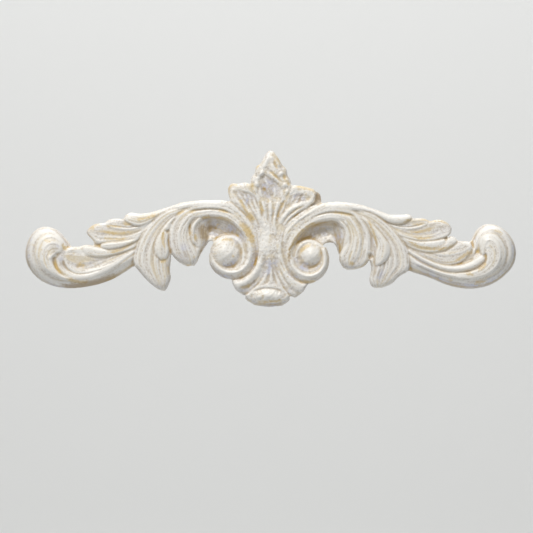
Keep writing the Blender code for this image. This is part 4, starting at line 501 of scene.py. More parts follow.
def left_volute(form):
    """The left volute: hollow, band, ring and ball."""
    centre = (-21, -12.5)
    # The line along which the band turns down into the ring round the ball.
    inner = ([(-19.6, 3.6), (-15.2, -0.4), (-11.8, -5), (-10.3, -9.6)]
             + turn(centre, 0, -30, (10.9, 10.8, 10.3, 9.4, 8.8, 8, 7.4)))
    form.leaf([
        ((-39, -6), (-35, -9), (-31.5, -6.1), (-28.6, -6.1), (-24, -9), (-16, -14)),
        ((-41, 4), (-35, 9), (-26, 9), (-17, 5), (-11, -3), (-9, -12))],
        **VOLUTE_HOLLOW)
    for x, z, rise in ((-31.4, -2.6, 0.25), (-29.6, -2.2, 0.2), (-31.2, -4.6, 0.25),
            (-28.4, -3.8, 0.2), (-26.6, -3.2, 0.25), (-26.4, -5, 0.3), (-24.2, -3.4, 0.2),
            (-27.6, 0.4, -0.25), (-31, 3, 0.2), (-27, 2.6, 0.2)):
        form.stroke(((x - 0.8, z - 0.4), (x, z), (x + 0.8, z + 0.4)), 1.8, rise, taper=0.5)
    form.leaf([
        ((-34, 8), (-38.6, 5), (-40.4, 0), (-40, -6), (-38, -10), (-36.4, -14.2)),
        ((-31.4, 6.4), (-35, 3.4), (-36.4, -1), (-35.8, -6), (-35.6, -10), (-36.2, -14)),
        ((-29, 5), (-31, 2), (-31.4, -2), (-31.6, -6.3), (-34.2, -10.4), (-36, -13.8))],
        rise=(9.8, 9.6, 9.3, 8.9, 8.5, 8), crown=0.0, side=1.8, drop=0.1, root=0.2,
        crests=(0.6, 0.2, -1.1, -3.2))
    form.stroke(((-33.4, 6), (-36.2, 4.4), (-38.2, 1.8), (-39, -1), (-39, -4), (-38.4, -6.2),
        (-36.8, -7.8)), 1.7, 0.8, taper=0.15)
    form.stroke(((-40.8, 2), (-40.6, -1.4), (-40.3, -4)), 1.3, -0.5)
    form.stroke(((-39.4, -7.2), (-37.4, -8.8), (-34.8, -10)), 1.5, -0.4)
    form.boss(centre, (9.5, 9.5), 8.4, 0.3)
    # The band under the lip, which tilts over to become the volute's wall.
    form.leaf([
        [(-44, 9), (-38, 9.6), (-30, 10.2), (-24, 9.4), (-18.6, 6.8), (-13.6, 2.2), (-9.6, -3.4),
         (-7.2, -9)]
        + turn(centre, 0, -30, (14.3, 14.3, 13.6, 12.5, 11.5, 10.8, 9.8)),
        [(-41.4, 2.6), (-38, 5), (-31, 6.4), (-25, 5.9)] + inner],
        rise=(10.6, 10.8, 10.8, 10.7, 10.3, 9.5, 9.2, 9.1, 9.1, 9), crown=0.35, drop=0.2, root=0.1,
        sink=0.1, tilt=(0.0, -0.2, -0.2, 0.0, 0.4, 1.2, 2.0, 2.2, 2.2, 2.0, 1.6, 1.2))
    # The lip, which lies over the band, then runs on with it and narrows to nothing.
    form.leaf([
        ((-46, 12.9), (-36, 14.1), (-28, 14.3), (-20.8, 13.4), (-15, 9), (-10.8, 3.8), (-8, -1.4),
         (-6.7, -7), (-6.6, -12), (-6.9, -14)),
        ((-44, 8), (-37, 9.6), (-30, 10.1), (-24, 9.4), (-18.6, 6.8), (-13.2, 2.2), (-9.8, -2.8),
         (-8, -8), (-7.2, -12), (-7, -14))],
        rise=(10.6, 11, 11, 10.7, 10.2, 9.9, 9.6, 9.2), crown=0.5, drop=0.15, root=0.15,
        tilt=(0.0, 0.0, 0.2, 0.4, 0.4, 0.2, 0.0, 0.0))
    form.stroke(((-41.6, 7.8), (-38, 9.1), (-34, 9.7), (-29, 9.8), (-25, 9.3), (-21, 8.1),
        (-18, 6.4)), 1.3, -0.8)
    form.stroke(((-38, 11.2), (-32, 11.9), (-26, 11.7), (-20, 9.8), (-14.6, 5.4), (-10.6, -0.4)),
        1.0, -0.2)
    form.stroke(((-36, 12.8), (-28, 13.1), (-21.6, 12.2), (-16, 8.4)), 1.0, -0.18)
    form.stroke(((-37, 7), (-31, 8.2), (-25, 7.7), (-19.6, 5.4), (-14.6, 1)), 1.0, -0.18)
    form.leaf([
        inner,
        [(-23, -1.6), (-19.4, -3.4), (-15.8, -6.6), (-14, -10)]
        + turn(centre, 0, -30, (7, 7, 7, 6.8, 6.4, 6, 5.6))],
        rise=(7.6, 8.6, 9.4, 9.7, 9.8, 9.9, 9.8, 9.6, 9.5), crown=-0.5, side=1.2, drop=0.1,
        root=0.4, crests=(0.9, 0.2, -0.4, -0.9))
    form.stroke([(-13.6, -3.4), (-11.4, -8)] + turn(centre, 0, -30, (10.2, 10.1, 9.6, 8.8, 8.2)),
        1.8, 0.4)
    form.stroke([(-19, -4.2), (-16, -6.4), (-14.3, -9.6), (-13.7, -13), (-14.4, -16.6),
        (-17, -19.6)], 1.4, 0.35)
    form.boss((-22.5, -12.1), (7, 7), 9, 3.1, power=1.4)


def right_wing(form):
    """The right wing, which follows the left one loosely, as hand-cut work does."""
    form.leaf([
        ((58, 4), (72, -3), (86, -7), (96, -6.6), (102, -7), (108, -10)),
        ((58, -10), (72, -19), (86, -24.6), (98, -27), (107, -24), (111, -17))],
        **STEM)
    form.leaf([
        ((60, -14), (68.7, -20.4), (79, -24), (90, -28.4), (100, -29.7), (109.5, -27.9), (117, -23),
         (121.5, -17), (122.3, -10), (119.5, -3.4), (114, 1.2), (108, 2.3), (103.6, -0.2),
         (101, -4.6), (100, -8)),
        ((60, -12), (69, -17.6), (79, -21.6), (90, -25.4), (100, -26.8), (108.4, -25.4),
         (115, -20.8), (118.7, -15.4), (119.4, -9.6), (117, -4), (112.6, -0.4), (108.2, -0.2),
         (104.4, -2.6), (102.4, -6.4), (101.8, -10)),
        ((60, -8), (69, -13), (79, -17.6), (90, -21), (98, -21.8), (106, -20.6), (112, -17),
         (115, -12.8), (114.8, -8.4), (112, -4.6), (108.6, -4), (105.6, -6), (104, -9),
         (103.6, -12))],
        groove=-0.3, crests=(-3.4, -0.6, 0.8), tilt=(0.6, 0.8, 1.0, 1.0, 0.6, 0.0, 0.0, 0.0),
        **END_SCROLL)
    form.boss((105.6, -16), (5, 5), 9, 0.9)
    form.leaf([
        ((104.4, -12.6), (103.8, -8), (105, -4.2), (108.4, -2.4), (112.4, -3.2), (115.6, -6.8),
         (117.2, -11.6), (116.6, -16.6), (113.4, -21.4), (107.6, -25), (100, -26.4), (92, -26),
         (84, -23.4), (76, -20.6), (69, -18.4)),
        ((105.8, -12.8), (106.6, -9), (107.8, -6.4), (109.8, -5.8), (112, -7.6), (113.6, -11),
         (113.6, -15), (111.6, -19), (107.6, -22.2), (101.6, -24), (94, -24.4), (85, -22),
         (76, -18.6), (69, -15.8)),
        ((106, -13.6), (106.4, -13.2), (107, -13), (107.4, -13.4), (107.6, -14.4), (107.4, -15.8),
         (106.4, -17.6), (104.4, -19.2), (101, -20.6), (95, -21.8), (86, -20.2), (76, -15.6),
         (69, -11.8))],
        rise=(9.8, 10.6, 11, 10.8, 10.2, 9.6, 9.4, 9.3, 9, 8.8), flutes=4, groove=0.15, crown=0.9,
        side=1.8, drop=0.3, sink=0.05, crests=(-0.5, 0.4, 0.2), fade=1.0, tip=0.1)
    for ridge, rise in (
            (((70, -16.8), (78, -20.4), (86, -23.4), (94, -25), (102, -24.8)), -0.45),
            (((70, -15.4), (78, -19.2), (86, -22.2), (94, -23.6)), 0.35),
            (((70, -14.2), (78, -18.2), (86, -21.2), (93, -22.4)), -0.35)):
        form.stroke(ridge, 1.5, rise, taper=0.2)
    form.leaf([
        ((62, -4), (70, -9.8), (79, -15.2), (87, -18), (94, -18.2), (100, -16.2), (104.4, -13.4),
         (106.4, -12.9), (107.6, -13.6)),
        ((62, -8), (70, -13.6), (79, -18.8), (87, -21.4), (95, -21.8), (102, -20.2), (105.6, -18),
         (107.4, -16), (107.9, -14.6))],
        rise=(8.4, 8.6, 9, 9.4, 9.8, 10, 10.2, 10.1), side=1.6, drop=0.3, root=0.12,
        crests=(0.1, 0.5, -0.5), tip=0.07)
    form.stroke(((107.9, -15), (107.2, -17), (105.4, -19), (102, -20.8), (97, -22)), 1.5, -0.2)
    form.stroke(((104.6, -7), (103.4, -9.4), (103, -11.8), (101.4, -13.8)), 2.4, -0.2)
    form.stroke(((100.6, -3.6), (101.4, -7), (101.6, -10.6), (100.4, -13.4)), 1.8, 0.6)
    form.leaf([
        ((60, 1), (68, -3), (78, -7), (86, -8.2), (92, -6.6), (97.5, -6.3), (100.2, -8)),
        ((60, -2), (68, -7), (78, -11.5), (86, -13.6), (93, -12.8), (98, -10.6), (100.2, -8.6)),
        ((60, -5), (68, -10), (78, -15), (87, -18), (94, -16.8), (98.4, -13), (100.3, -9.2))],
        rise=(8.2, 8.6, 8.8, 9, 9.2, 9.3, 9), flutes=5, groove=-0.35, crown=0.3, side=1.2, drop=0.5,
        root=0.12, sink=0.1)
    form.leaf([
        ((28, 13.3), (38, 13), (48, 10.9), (56, 8.2), (62, 5.6), (70, 3), (80, 1.5), (87, -1)),
        ((36, 8.6), (46, 6.5), (54, 2.5), (60, -1.6), (66, -5), (74, -8), (82, -8.6), (88, -7))],
        **LONG_LEAF)
    form.leaf([
        ((62, -2), (70, -6.6), (79, -8.6), (86, -6.6), (90, -3.8), (92.8, -5.2)),
        ((62, -5), (69, -9.4), (77, -12), (85, -11.6), (90.4, -9), (93.2, -6.2))],
        **LOWEST_LOBE)
    form.leaf([
        ((54, 4), (60, -0.6), (67, -3.9), (74, -5.8), (81, -5.6), (86.2, -4.8)),
        ((56, 1), (62, -3.6), (69, -7.2), (76, -9.3), (83, -9.2), (87.6, -6.6))],
        rise=(9.4, 9.3, 9.4, 9.7, 9.9, 9.7), flutes=3, groove=-0.35, crown=0.2, side=1.2, drop=0.7,
        root=0.2, sink=0.1, crests=(-0.3, 0.0, 0.3))
    form.leaf([
        ((50, 8), (57, 4.6), (64, 1.4), (71, 0), (76, 1), (80, 3.8), (85, 4.4), (88.6, 2.6),
         (90.3, 0.2)),
        ((52, 5), (58, 1.4), (64, -1.6), (71, -3.4), (78, -3.2), (84, -1.4), (88, -0.6),
         (90.1, -0.2)),
        ((54, 2.5), (60, -1.4), (66, -4), (73, -5.8), (80, -5.8), (86, -4.4), (89.4, -2.6),
         (90, -0.8))],
        **DISHED_LOBE)
    form.leaf([
        ((46, 10), (53, 7.6), (60, 5), (66, 3.9), (71, 5), (76, 5.2), (78.8, 4)),
        ((50, 6.4), (56, 3.4), (62, 0.6), (68, -0.4), (73, 0), (77, 1.6), (78.9, 3.4))],
        **HOLLOW_LOBE)
    form.leaf([
        ((24, 12.4), (34, 13.2), (44, 12.1), (52, 9.5), (59, 7.1), (65, 7), (69, 7.1), (70.6, 5.6)),
        ((26, 10), (36, 10.4), (45, 8.4), (52, 5.8), (58, 3.4), (64, 2.4), (68.4, 3.8),
         (70.4, 5.2))],
        rise=(11.2, 11, 10.6, 10.2, 9.8, 10, 9.7), flutes=2, groove=-0.3, crown=0.8, side=1.2,
        root=0.12, sink=0.2)
    form.leaf([
        ((42, 10), (51, 7.6), (59, 2), (64.4, -4), (67.8, -10), (69, -16), (68.4, -20.6),
         (64, -23.6), (60, -27.4), (55, -29.4)),
        ((40, 7), (48, 3.4), (54.6, -3), (59, -10), (60, -17), (57.6, -23), (54, -29.3)),
        ((38, 4), (44, 1.6), (48, -3), (49.6, -9), (49.6, -15), (50.4, -20), (49.5, -25),
         (50.4, -28.4), (52.6, -29.4))],
        **HANGING_LEAF)
    form.leaf([
        ((41, 8.4), (48, 5), (54, -1), (58.4, -7), (59.2, -12), (56.6, -16.6), (52.6, -18.6)),
        ((40, 5), (45, 2.6), (50, -2), (53, -7), (52.6, -11), (52, -15), (52, -18.4))],
        rise=(10.6, 10.6, 10.5, 10.7, 10.8, 10.5, 9.7), flutes=3, groove=-0.5, crown=0.8, side=1.5,
        root=0.2, sink=0.15)
    form.leaf([
        ((36, 10), (42, 8), (46.6, 3.6), (49.4, -2.4), (49.8, -9), (49.2, -14.4), (46.4, -18.6),
         (41, -20.3)),
        ((34, 7.6), (38.6, 5), (42, 0), (43.6, -6), (42.6, -12), (40.4, -17), (39.4, -20.2)),
        ((32, 6), (35.4, 3.6), (37.8, -1), (38, -6), (36, -11), (34.2, -14.4), (35.8, -18.6),
         (38, -20.2))],
        fade=0.3, **INNER_LEAF)
    form.stroke(((47.6, -12.4), (49.6, -13.6), (51, -15.4)), 3.6, -1.0, taper=0.5)


def right_volute(form):
    """The right volute: hollow, band, ring and ball."""
    centre = (19, -14)
    inner = ([(19.4, 1.8), (14.8, -2), (11, -7), (9.3, -12)]
             + turn(centre, 180, 30, (9.8, 9.7, 9.9, 9.9, 9.6, 8.8, 8, 7.8)))
    form.leaf([
        ((36.4, -8), (34, -10.5), (31.6, -7), (27.3, -7), (23, -10), (15, -14)),
        ((37.8, 3), (34, 7.6), (26, 7.6), (16, 4), (10, -3), (8, -12))],
        **VOLUTE_HOLLOW)
    for x, z, rise in ((23, -3.8, 0.2), (25.4, -3, 0.25), (27.6, -2.6, 0.25), (29.8, -3.6, 0.3),
            (21, -2.4, 0.2), (26.4, -5, 0.25), (28.6, -5.2, 0.2), (31, -2, 0.2)):
        form.stroke(((x - 0.8, z + 0.3), (x, z), (x + 0.8, z - 0.3)), 1.8, rise, taper=0.5)
    form.leaf([
        ((31, 6), (35, 3.8), (37.8, 0.2), (38.5, -4), (37.2, -8.6), (34.4, -12.8)),
        ((30, 4.8), (33.4, 2.6), (35.6, -0.8), (36, -5), (35.6, -9.2), (34.2, -12.7)),
        ((28, 3.6), (31, 1.6), (32.2, -2), (32.8, -6.2), (33.4, -10.4), (34.1, -12.6))],
        rise=(9.8, 9.5, 9.2, 8.9, 8.5, 7.8), crown=0.0, side=1.8, drop=0.1, root=0.25,
        crests=(0.8, 0.4, -0.8, -2.2, -3.2))
    form.stroke(((31, 5), (34.6, 3.4), (37.2, 0.6), (38, -2.6), (37.4, -6), (35.8, -8.4)), 1.8, 0.6)
    form.stroke(((34.6, 1), (35.6, -2), (35.2, -5.6), (33.8, -8.4)), 1.6, 0.25)
    form.boss(centre, (8.6, 8.6), 8.4, 0.3)
    form.leaf([
        [(44, 6.4), (38, 7.9), (31, 8.5), (24, 7.2), (17.6, 3.8), (12.4, -0.6), (8.6, -5.6),
         (6.8, -11)]
        + turn(centre, 180, 30, (12.4, 12.6, 13.2, 13.2, 12, 10.8, 9.9, 9.9)),
        [(39.4, 1), (36.8, 3.4), (31, 4.4), (25, 3.9)] + inner],
        rise=(10.6, 10.8, 10.8, 10.6, 10.4, 10, 9.6, 9.2, 9.2, 9.2, 9.4), crown=0.35, drop=0.2,
        root=0.1, sink=0.1, tilt=(0.0, -0.2, -0.2, 0.0, 0.2, 0.6, 1.0, 2.0, 2.4, 2.2, 1.8, 1.2))
    form.leaf([
        ((46, 11.7), (37, 13.2), (30, 13.2), (24, 11.4), (17, 7.9), (11.6, 3.6), (7.4, -1.4),
         (5.6, -7), (5.6, -12), (7, -18), (8.6, -21)),
        ((44, 6), (37, 8), (30, 8.4), (23, 6.9), (16.6, 3.2), (11.6, -1), (8, -6), (6.9, -11),
         (7, -15), (8.2, -19.4), (9, -21))],
        rise=(10.6, 11, 11, 10.7, 10.3, 10, 9.7, 9.4, 8.8), crown=0.5, drop=0.15, root=0.15,
        tilt=(0.0, 0.0, 0.2, 0.3, 0.4, 0.3, 0.2, 0.2))
    form.stroke(((45, 5.4), (40, 6.9), (36, 7.7), (32, 8.1), (28, 8), (23, 6.6), (19, 4.6)), 1.2,
        -0.55)
    form.stroke(((44, 8.6), (38, 10), (31, 10.6), (25, 9.4), (18, 6), (12.4, 1.6), (9, -3)), 1.0,
        -0.22)
    form.stroke(((40, 11.6), (32, 12.2), (25.4, 10.8), (19, 7.8)), 1.0, -0.18)
    form.stroke(((38, 5), (31, 6.5), (25, 5.6), (18.6, 2.8), (13.4, -1.6)), 1.0, -0.15)
    form.stroke(((24, 11), (17.6, 7.2), (12.4, 3.6), (8.4, -0.6), (6.6, -5), (6.6, -10)), 1.2, 0.4)
    form.leaf([
        inner,
        [(21, -4.6), (17, -5.8), (13.8, -8.8), (12.7, -12)]
        + turn(centre, 180, 30, (6.2, 6.2, 6.2, 6.2, 6.2, 6, 5.6, 5.6))],
        rise=(7.4, 8.2, 9.1, 9.6, 9.8, 9.9, 9.9, 9.8, 9.6), crown=-0.4, side=1.2, drop=0.1,
        root=0.4, crests=(0.7, 0.2, -0.4, -0.8))
    form.stroke([(10.4, -12), (10.6, -17)] + turn(centre, 220, 30, (9, 9.1, 9.1, 8.8, 8)), 2.0, 0.5)
    form.stroke([(25.4, -7.4), (21, -5.4), (16.6, -6.6), (13.4, -10), (12.4, -14), (13.6, -18)],
        1.3, 0.3)
    form.boss((19.9, -12.9), (5.8, 5.8), 8.8, 3.1, power=1.4)


def palmette(form):
    """The middle: neck, the upright leaf with its side lobes, and the shell below."""
    form.leaf([
        ((-5.6, -10), (-7, -3), (-11, 4), (-16, 9.5), (-21, 13.4)),
        ((0, -10), (0, -4), (0, 2), (0, 8), (0, 14)),
        ((5.6, -10), (6.6, -3), (10.4, 3), (16, 8), (24.6, 12.6))],
        rise=(9.8, 9.9, 9.8, 9.5, 9.2), flutes=12, groove=-0.3, crown=0.0, drop=0.6)
    form.leaf([
        ((8, 5), (13, 9.4), (19, 11.6), (25, 12.6)),
        ((6, 9), (13, 15), (20, 18.6), (24, 17.8), (25, 14.6))],
        rise=(6.8, 7.2, 7, 6.4), crown=0.3, side=0.9, drop=0.6, root=0.1)
    # Side lobes: a flat rim with a ragged inner edge round a cupped hollow.
    form.leaf([
        ((-5.4, -3), (-9, 3.4), (-14, 8.8), (-18.8, 12.8), (-20.8, 16), (-21.4, 20.2)),
        ((-4, -2), (-7, 5), (-11.5, 11.5), (-16, 17), (-20.4, 21.9)),
        ((-2.4, -1), (-4.4, 6), (-7, 13.4), (-10.4, 21.6), (-13.6, 23.1), (-15.8, 22.4),
         (-19.8, 22.8))],
        **LOBE_RIM)
    form.leaf([
        ((-6.4, 1), (-9.8, 6.6), (-13.4, 11), (-16.8, 14.4), (-18.8, 17), (-19.3, 18.6)),
        ((-4.8, 4), (-6.2, 9), (-7.2, 14.4), (-9.6, 17.2), (-13.6, 18.4), (-17.4, 19.4),
         (-19.1, 18.9))],
        crests=(0.4, 0.1, 0.0, 0.1), **LOBE_CUP)
    for x, z in ((-17.4, 19.4), (-14.6, 18.9), (-11.8, 18.1), (-9, 16.7)):
        form.stroke(((x - 0.4, z + 1), (0.8 * x - 1, 0.8 * z), (0.6 * x - 2, 0.6 * z)), 2, 0.4,
            taper=0.6)
    for rib, rise in (
            (((-18.6, 15.6), (-14.8, 12), (-11, 8), (-8, 3), (-6, -2)), 0.6),
            (((-15.4, 16), (-12.4, 12), (-9, 7), (-6, 1)), 0.5),
            (((-12, 15.6), (-9.4, 10.6), (-6.4, 5.6), (-4.6, 0)), 0.55),
            (((-9, 15), (-6.8, 9.6), (-5, 4.6), (-3.8, 0)), 0.45),
            (((-17, 14.4), (-12.8, 9.8), (-9.6, 5.6), (-7, 0)), -0.3),
            (((-13.4, 14.6), (-10.2, 9.6), (-7.4, 4), (-5.4, -1)), -0.3)):
        form.stroke(rib, 1.7, rise, taper=0.3)
    form.leaf([
        ((4.6, -3), (8, 3), (13, 8), (18.4, 11), (21.4, 14), (22.6, 18)),
        ((3.4, -2), (6, 4.6), (10.4, 11), (16, 16.4), (21.6, 19.4)),
        ((2.2, -1), (4, 6), (6.6, 13), (10, 20.8), (14.4, 21.4), (18, 20.6), (21.4, 19.8))],
        **LOBE_RIM)
    form.leaf([
        ((5.6, 3), (8.4, 7.6), (11.8, 11), (15.6, 12.6), (18.8, 13.8), (20, 15.4)),
        ((4, 4), (5.6, 10), (7.2, 14.8), (9.6, 16.9), (13.4, 18), (17.6, 17.5), (19.8, 16.4))],
        crests=(0.5, 0.1, 0.0, 0.1), **LOBE_CUP)
    for x, z in ((9.2, 16.8), (12, 17.8), (14.8, 17.6), (17.6, 17.4)):
        form.stroke(((x + 0.4, z + 1), (0.8 * x + 1, 0.8 * z), (0.6 * x + 2, 0.6 * z)), 2, 0.4,
            taper=0.6)
    form.stroke(((4, 1), (6, 5.6), (8.8, 8.8), (12, 11), (15.4, 12.6), (18.2, 15.2)), 2.8, 0.8,
        taper=0.3)
    for rib, rise in (
            (((5.6, 0.6), (8, 4.2), (12, 7.8), (17, 10.6)), 0.45),
            (((7, 0), (10, 3.6), (14.4, 7), (19, 9.6)), 0.35),
            (((5, 0), (7, 4.8), (10.6, 8.4), (15, 11.2), (19.6, 13)), -0.15),
            (((6.4, 0), (9, 4), (13, 7.2), (18, 10.2)), -0.2),
            (((7.6, 7), (10.4, 11.4), (14.4, 14.6)), 0.35),
            (((4.6, 5), (6.8, 10), (9.6, 14.4)), -0.3)):
        form.stroke(rib, 1.7, rise, taper=0.3)
    # The upright lobe: blunt teeth down both sides, veins aslant to its tip, and a hollow below.
    form.leaf([
        ((-1.6, 0), (-4, 7), (-7, 14), (-9.7, 20.6), (-9.8, 25.4), (-8.2, 27.4), (-7.4, 31),
         (-5.2, 32.4), (-3.6, 35.8), (-1.4, 38.6), (-0.5, 39.1)),
        ((0, 0), (0, 8), (-0.4, 17), (-0.6, 26), (-0.4, 33), (-0.2, 39.1)),
        ((1.6, 0), (3.8, 7), (6.8, 14), (9.8, 20.6), (9.5, 24.4), (8.2, 26.4), (7.6, 29.9),
         (5.8, 31.3), (3.8, 34.8), (1.2, 38.5), (0.2, 39.1))],
        rise=(9.8, 10, 10.2, 10.3, 10.3, 10.2, 9.6), crown=0.5, side=1.4, drop=0.5, root=0.3,
        brush=11)
    form.leaf([
        ((-4.2, 9), (-6, 14.4), (-7.4, 19), (-6.8, 22.8), (-5.4, 26.2), (-3.8, 27.6)),
        ((0, 9), (0, 15), (-0.4, 19.4), (-1.4, 23), (-2.6, 26), (-3.4, 27.6)),
        ((4, 9), (6, 14.6), (6.8, 19.2), (4.2, 22.4), (0.8, 25), (-2.8, 27.6))],
        rise=(9.8, 9.7, 9.6, 9.6, 9.7, 10), crown=-0.3, drop=0.0, root=0.4,
        crests=(0.3, 0.0, 0.0, 0.2))
    for tooth, rise in (
            (((-3.4, 26.8), (-4.4, 27.7), (-5.7, 29.4)), 0.55),
            (((-5.8, 20.6), (-6.8, 21.9), (-8, 24)), 0.7),
            (((3.6, 26.2), (4.6, 27.2), (6.1, 28.7)), 0.7),
            (((6, 20.6), (7, 21.8), (8.3, 23.4)), 0.65),
            (((-7, 17.6), (-8, 19), (-9.2, 21)), 0.45),
            (((7, 17), (8, 18.4), (9, 20.6)), 0.45),
            (((-6.4, 25.8), (-7.6, 26.6), (-8.8, 27.4)), -0.45),
            (((-5.2, 25.4), (-4.6, 27.6), (-3.8, 29.8)), 0.5),
            (((-4.6, 31), (-5.4, 31.7), (-6.2, 32.4)), -0.35),
            (((5, 25.4), (7, 26), (8.6, 26.4)), -0.55),
            (((3.6, 30), (5, 30.8), (6.6, 31.4)), -0.45)):
        form.stroke(tooth, 2.8, rise, taper=0.5)
    form.stroke(((-3.8, 29.4), (-3.2, 32.2), (-1.6, 34.6), (-0.1, 35.8), (1.3, 34.6)), 2.6, 0.4)
    for vein, rise in (
            (((1.6, 35), (3, 32.6), (4, 30)), 0.35),
            (((0.4, 34.8), (2.2, 32), (3.4, 29)), -0.4),
            (((-0.6, 33.4), (1, 31), (2.6, 28.4)), 0.3),
            (((-2.2, 30.8), (0, 28.6), (2.4, 26.2), (5, 23.6), (6.4, 21)), -0.45),
            (((-2.8, 29.2), (-0.4, 27.2), (2.2, 24.8), (5, 22)), 0.5),
            (((-4.4, 26.6), (-2.6, 23.6), (-0.4, 20)), 0.25),
            (((1.4, 21.6), (2, 18.4), (1.4, 15)), 0.35),
            (((5.6, 20.6), (5.4, 17.6), (4.4, 14.8)), 0.4),
            (((-5.6, 22), (-5.4, 18.4), (-4.4, 15)), 0.3)):
        form.stroke(vein, 1.6, rise, taper=0.4)
    for rib, rise in (
            (((-6.2, 16), (-4.8, 11.4), (-3.6, 7), (-2.6, 1)), -0.45),
            (((-2.6, 15.6), (-1.9, 11.6), (-1.6, 7), (-1.2, 1)), -0.35),
            (((1.4, 15), (1.1, 11), (0.8, 6), (0.4, 0)), -0.3),
            (((7, 15), (5.2, 11.6), (3.6, 8), (2.2, 2)), -0.45),
            (((-4.4, 15.4), (-3.7, 10), (-3.2, 5), (-2.8, -2)), 0.45),
            (((-0.6, 16), (-0.3, 11), (-0.4, 4)), 0.35),
            (((3.9, 15.4), (2.8, 10), (1.8, 5), (1.2, -2)), 0.45)):
        form.stroke(rib, 1.7, rise, taper=0.3)
    # The neck, which swells and falls back, and the shell with its two petals and rolled lip.
    form.leaf([
        ((-7.8, 5), (-6.2, -4), (-5.6, -10), (-6.6, -16), (-9.6, -22), (-14, -27)),
        ((0, 5), (0, -4), (0, -10), (0, -16), (0, -22), (0, -27)),
        ((7.8, 5), (6.2, -4), (5.8, -10), (6.8, -16), (9, -22), (13, -27))],
        rise=(9.4, 10, 10.6, 10, 9.1, 9.2), drop=0.3, root=0.5, crests=(0.1, 0.0, -0.1), brush=10)
    form.leaf([
        ((-4.4, -8), (-6.2, -15), (-10, -21.6), (-14, -25), (-19.6, -26.2)),
        ((-2.6, -9), (-4.6, -18), (-8.4, -24.6), (-12.6, -28), (-17.6, -30.4)),
        ((-1.4, -10), (-2.6, -19), (-5.6, -26), (-9.8, -31.2), (-13.8, -33))],
        rise=(10.2, 10, 10, 9.6, 8.9), side=1.4, drop=0.5, root=0.6,
        crests=(0.4, 0.9, 0.1, -0.8, -0.7))
    form.stroke(((-5, -22), (-8.4, -26.4), (-12, -28.8), (-16.6, -29.6)), 2.8, -0.3)
    form.stroke(((-5.4, -23.6), (-8.2, -27.4), (-11.6, -30.4)), 1.8, 0.25)
    form.leaf([
        ((4.4, -8), (6.4, -15), (9.4, -21.6), (13, -25.8), (18.2, -27.6)),
        ((2.6, -9), (4.8, -18), (8, -25), (11.8, -29.2), (16.4, -31)),
        ((1.4, -10), (2.4, -19), (4.8, -26.4), (8.2, -32), (12, -34.4))],
        rise=(10.2, 9.8, 9.7, 9.4, 8.8), flutes=2, groove=-0.25, crown=0.3, side=1.4, drop=0.5,
        root=0.6, crests=(0.3, 0.4, -0.3, -0.6))
    form.stroke(((4, -14.6), (5.4, -17.6), (7.6, -21.4), (11, -25.4)), 1.5, -0.5)
    form.leaf([
        ((-1.4, -18), (-3.2, -23), (-6.6, -28), (-11, -32), (-12.6, -34.8), (-8, -38)),
        ((0, -18), (0, -23), (-0.4, -28), (-0.8, -32.4), (-1, -36), (-1.2, -38.9)),
        ((1.4, -18), (2.8, -23), (5, -28), (8, -32.4), (9.2, -35.4), (5.6, -38.2))],
        rise=(8.9, 8.8, 9.2, 9.6, 8.8, 5.8), crown=0.5, side=1.6, drop=0.4, root=0.5, brush=12)
    for rib, rise in (
            (((0, -18.6), (0.2, -24), (0.6, -28.6)), 0.3),
            (((1.2, -20), (3.6, -26), (6.6, -30.6)), 0.3),
            (((-1.4, -20), (-4, -26), (-8, -30)), 0.35),
            (((3.6, -21), (6.6, -26.6), (10, -30)), 0.3),
            (((0.8, -21), (2, -25.6), (4, -29)), -0.25),
            (((-0.8, -21), (-2, -26), (-4.4, -29.4)), -0.3)):
        form.stroke(rib, 1.7, rise, taper=0.35)
    form.boss((-1.2, -33.1), (9.2, 3.8), 9.0, 1.9, lean=-2, power=1.6)
    form.stroke(((-7.6, -34.2), (-6, -34), (-4.4, -34.2)), 2.6, 0.4, taper=0.5)


# The blurred cover at which the body's fall and the rim's roll set in, how much more of it they
# take, and the height over the wall at the very rim: the share that stays and the one that goes.
BODY_FROM = 0.45
RIM_FROM = 0.46
FALL_SPAN = 0.5
RIM_STAYS = 0.55
RIM_GOES = 0.45
# What lies this far below the outline's level goes before the cut, and points that the cut
# leaves nearer than this, in mm, are one point.
OUTSIDE = -0.49
CUT_SEAM = 0.02
CUT_FINENESS = 1e-5
# Gaps between the forms up to about this width, in mm, are closed.
PINHOLE = 0.5
# Keeps a place on the grid's far edge inside its last cell.
LAST_CELL = 1.001


def evened(form):
    """Heights with the edges of every form softened, as a mould leaves them."""
    reach = MOULD_BLUR / form.cell
    weight = np.maximum(soften(form.cover, reach), TINY)
    return soften(form.height * form.cover, reach) / weight


def finished(form):
    """The outline as a level set, and the heights, rounded down towards the outline."""
    cell = form.cell
    solid = (soften(form.cover, PINHOLE / cell) > 0.5) | (form.cover > 0)
    level = soften(solid * 1.0, OUTLINE_BLUR / cell)
    height = evened(form)
    body = np.clip((soften(solid * 1.0, BODY_FALL_WIDTH / cell) - BODY_FROM) / FALL_SPAN,
                   0.0, 1.0)
    height = height - BODY_FALL * (1.0 - body) ** 2
    roll = np.clip((soften(solid * 1.0, RIM_ROLL / cell) - RIM_FROM) / FALL_SPAN, 0.0, 1.0)
    floor = np.minimum(WALL_HEIGHT, height)
    rounded = RIM_STAYS + RIM_GOES * np.sqrt(1.0 - (1.0 - roll) ** 2)
    height = floor + (height - floor) * rounded
    return level, height


def build_relief(cell):
    """The whole crest in relief."""
    form = Relief(cell)
    for lay_forms in (left_wing, right_wing, palmette, left_volute, right_volute):
        lay_forms(form)
    return form


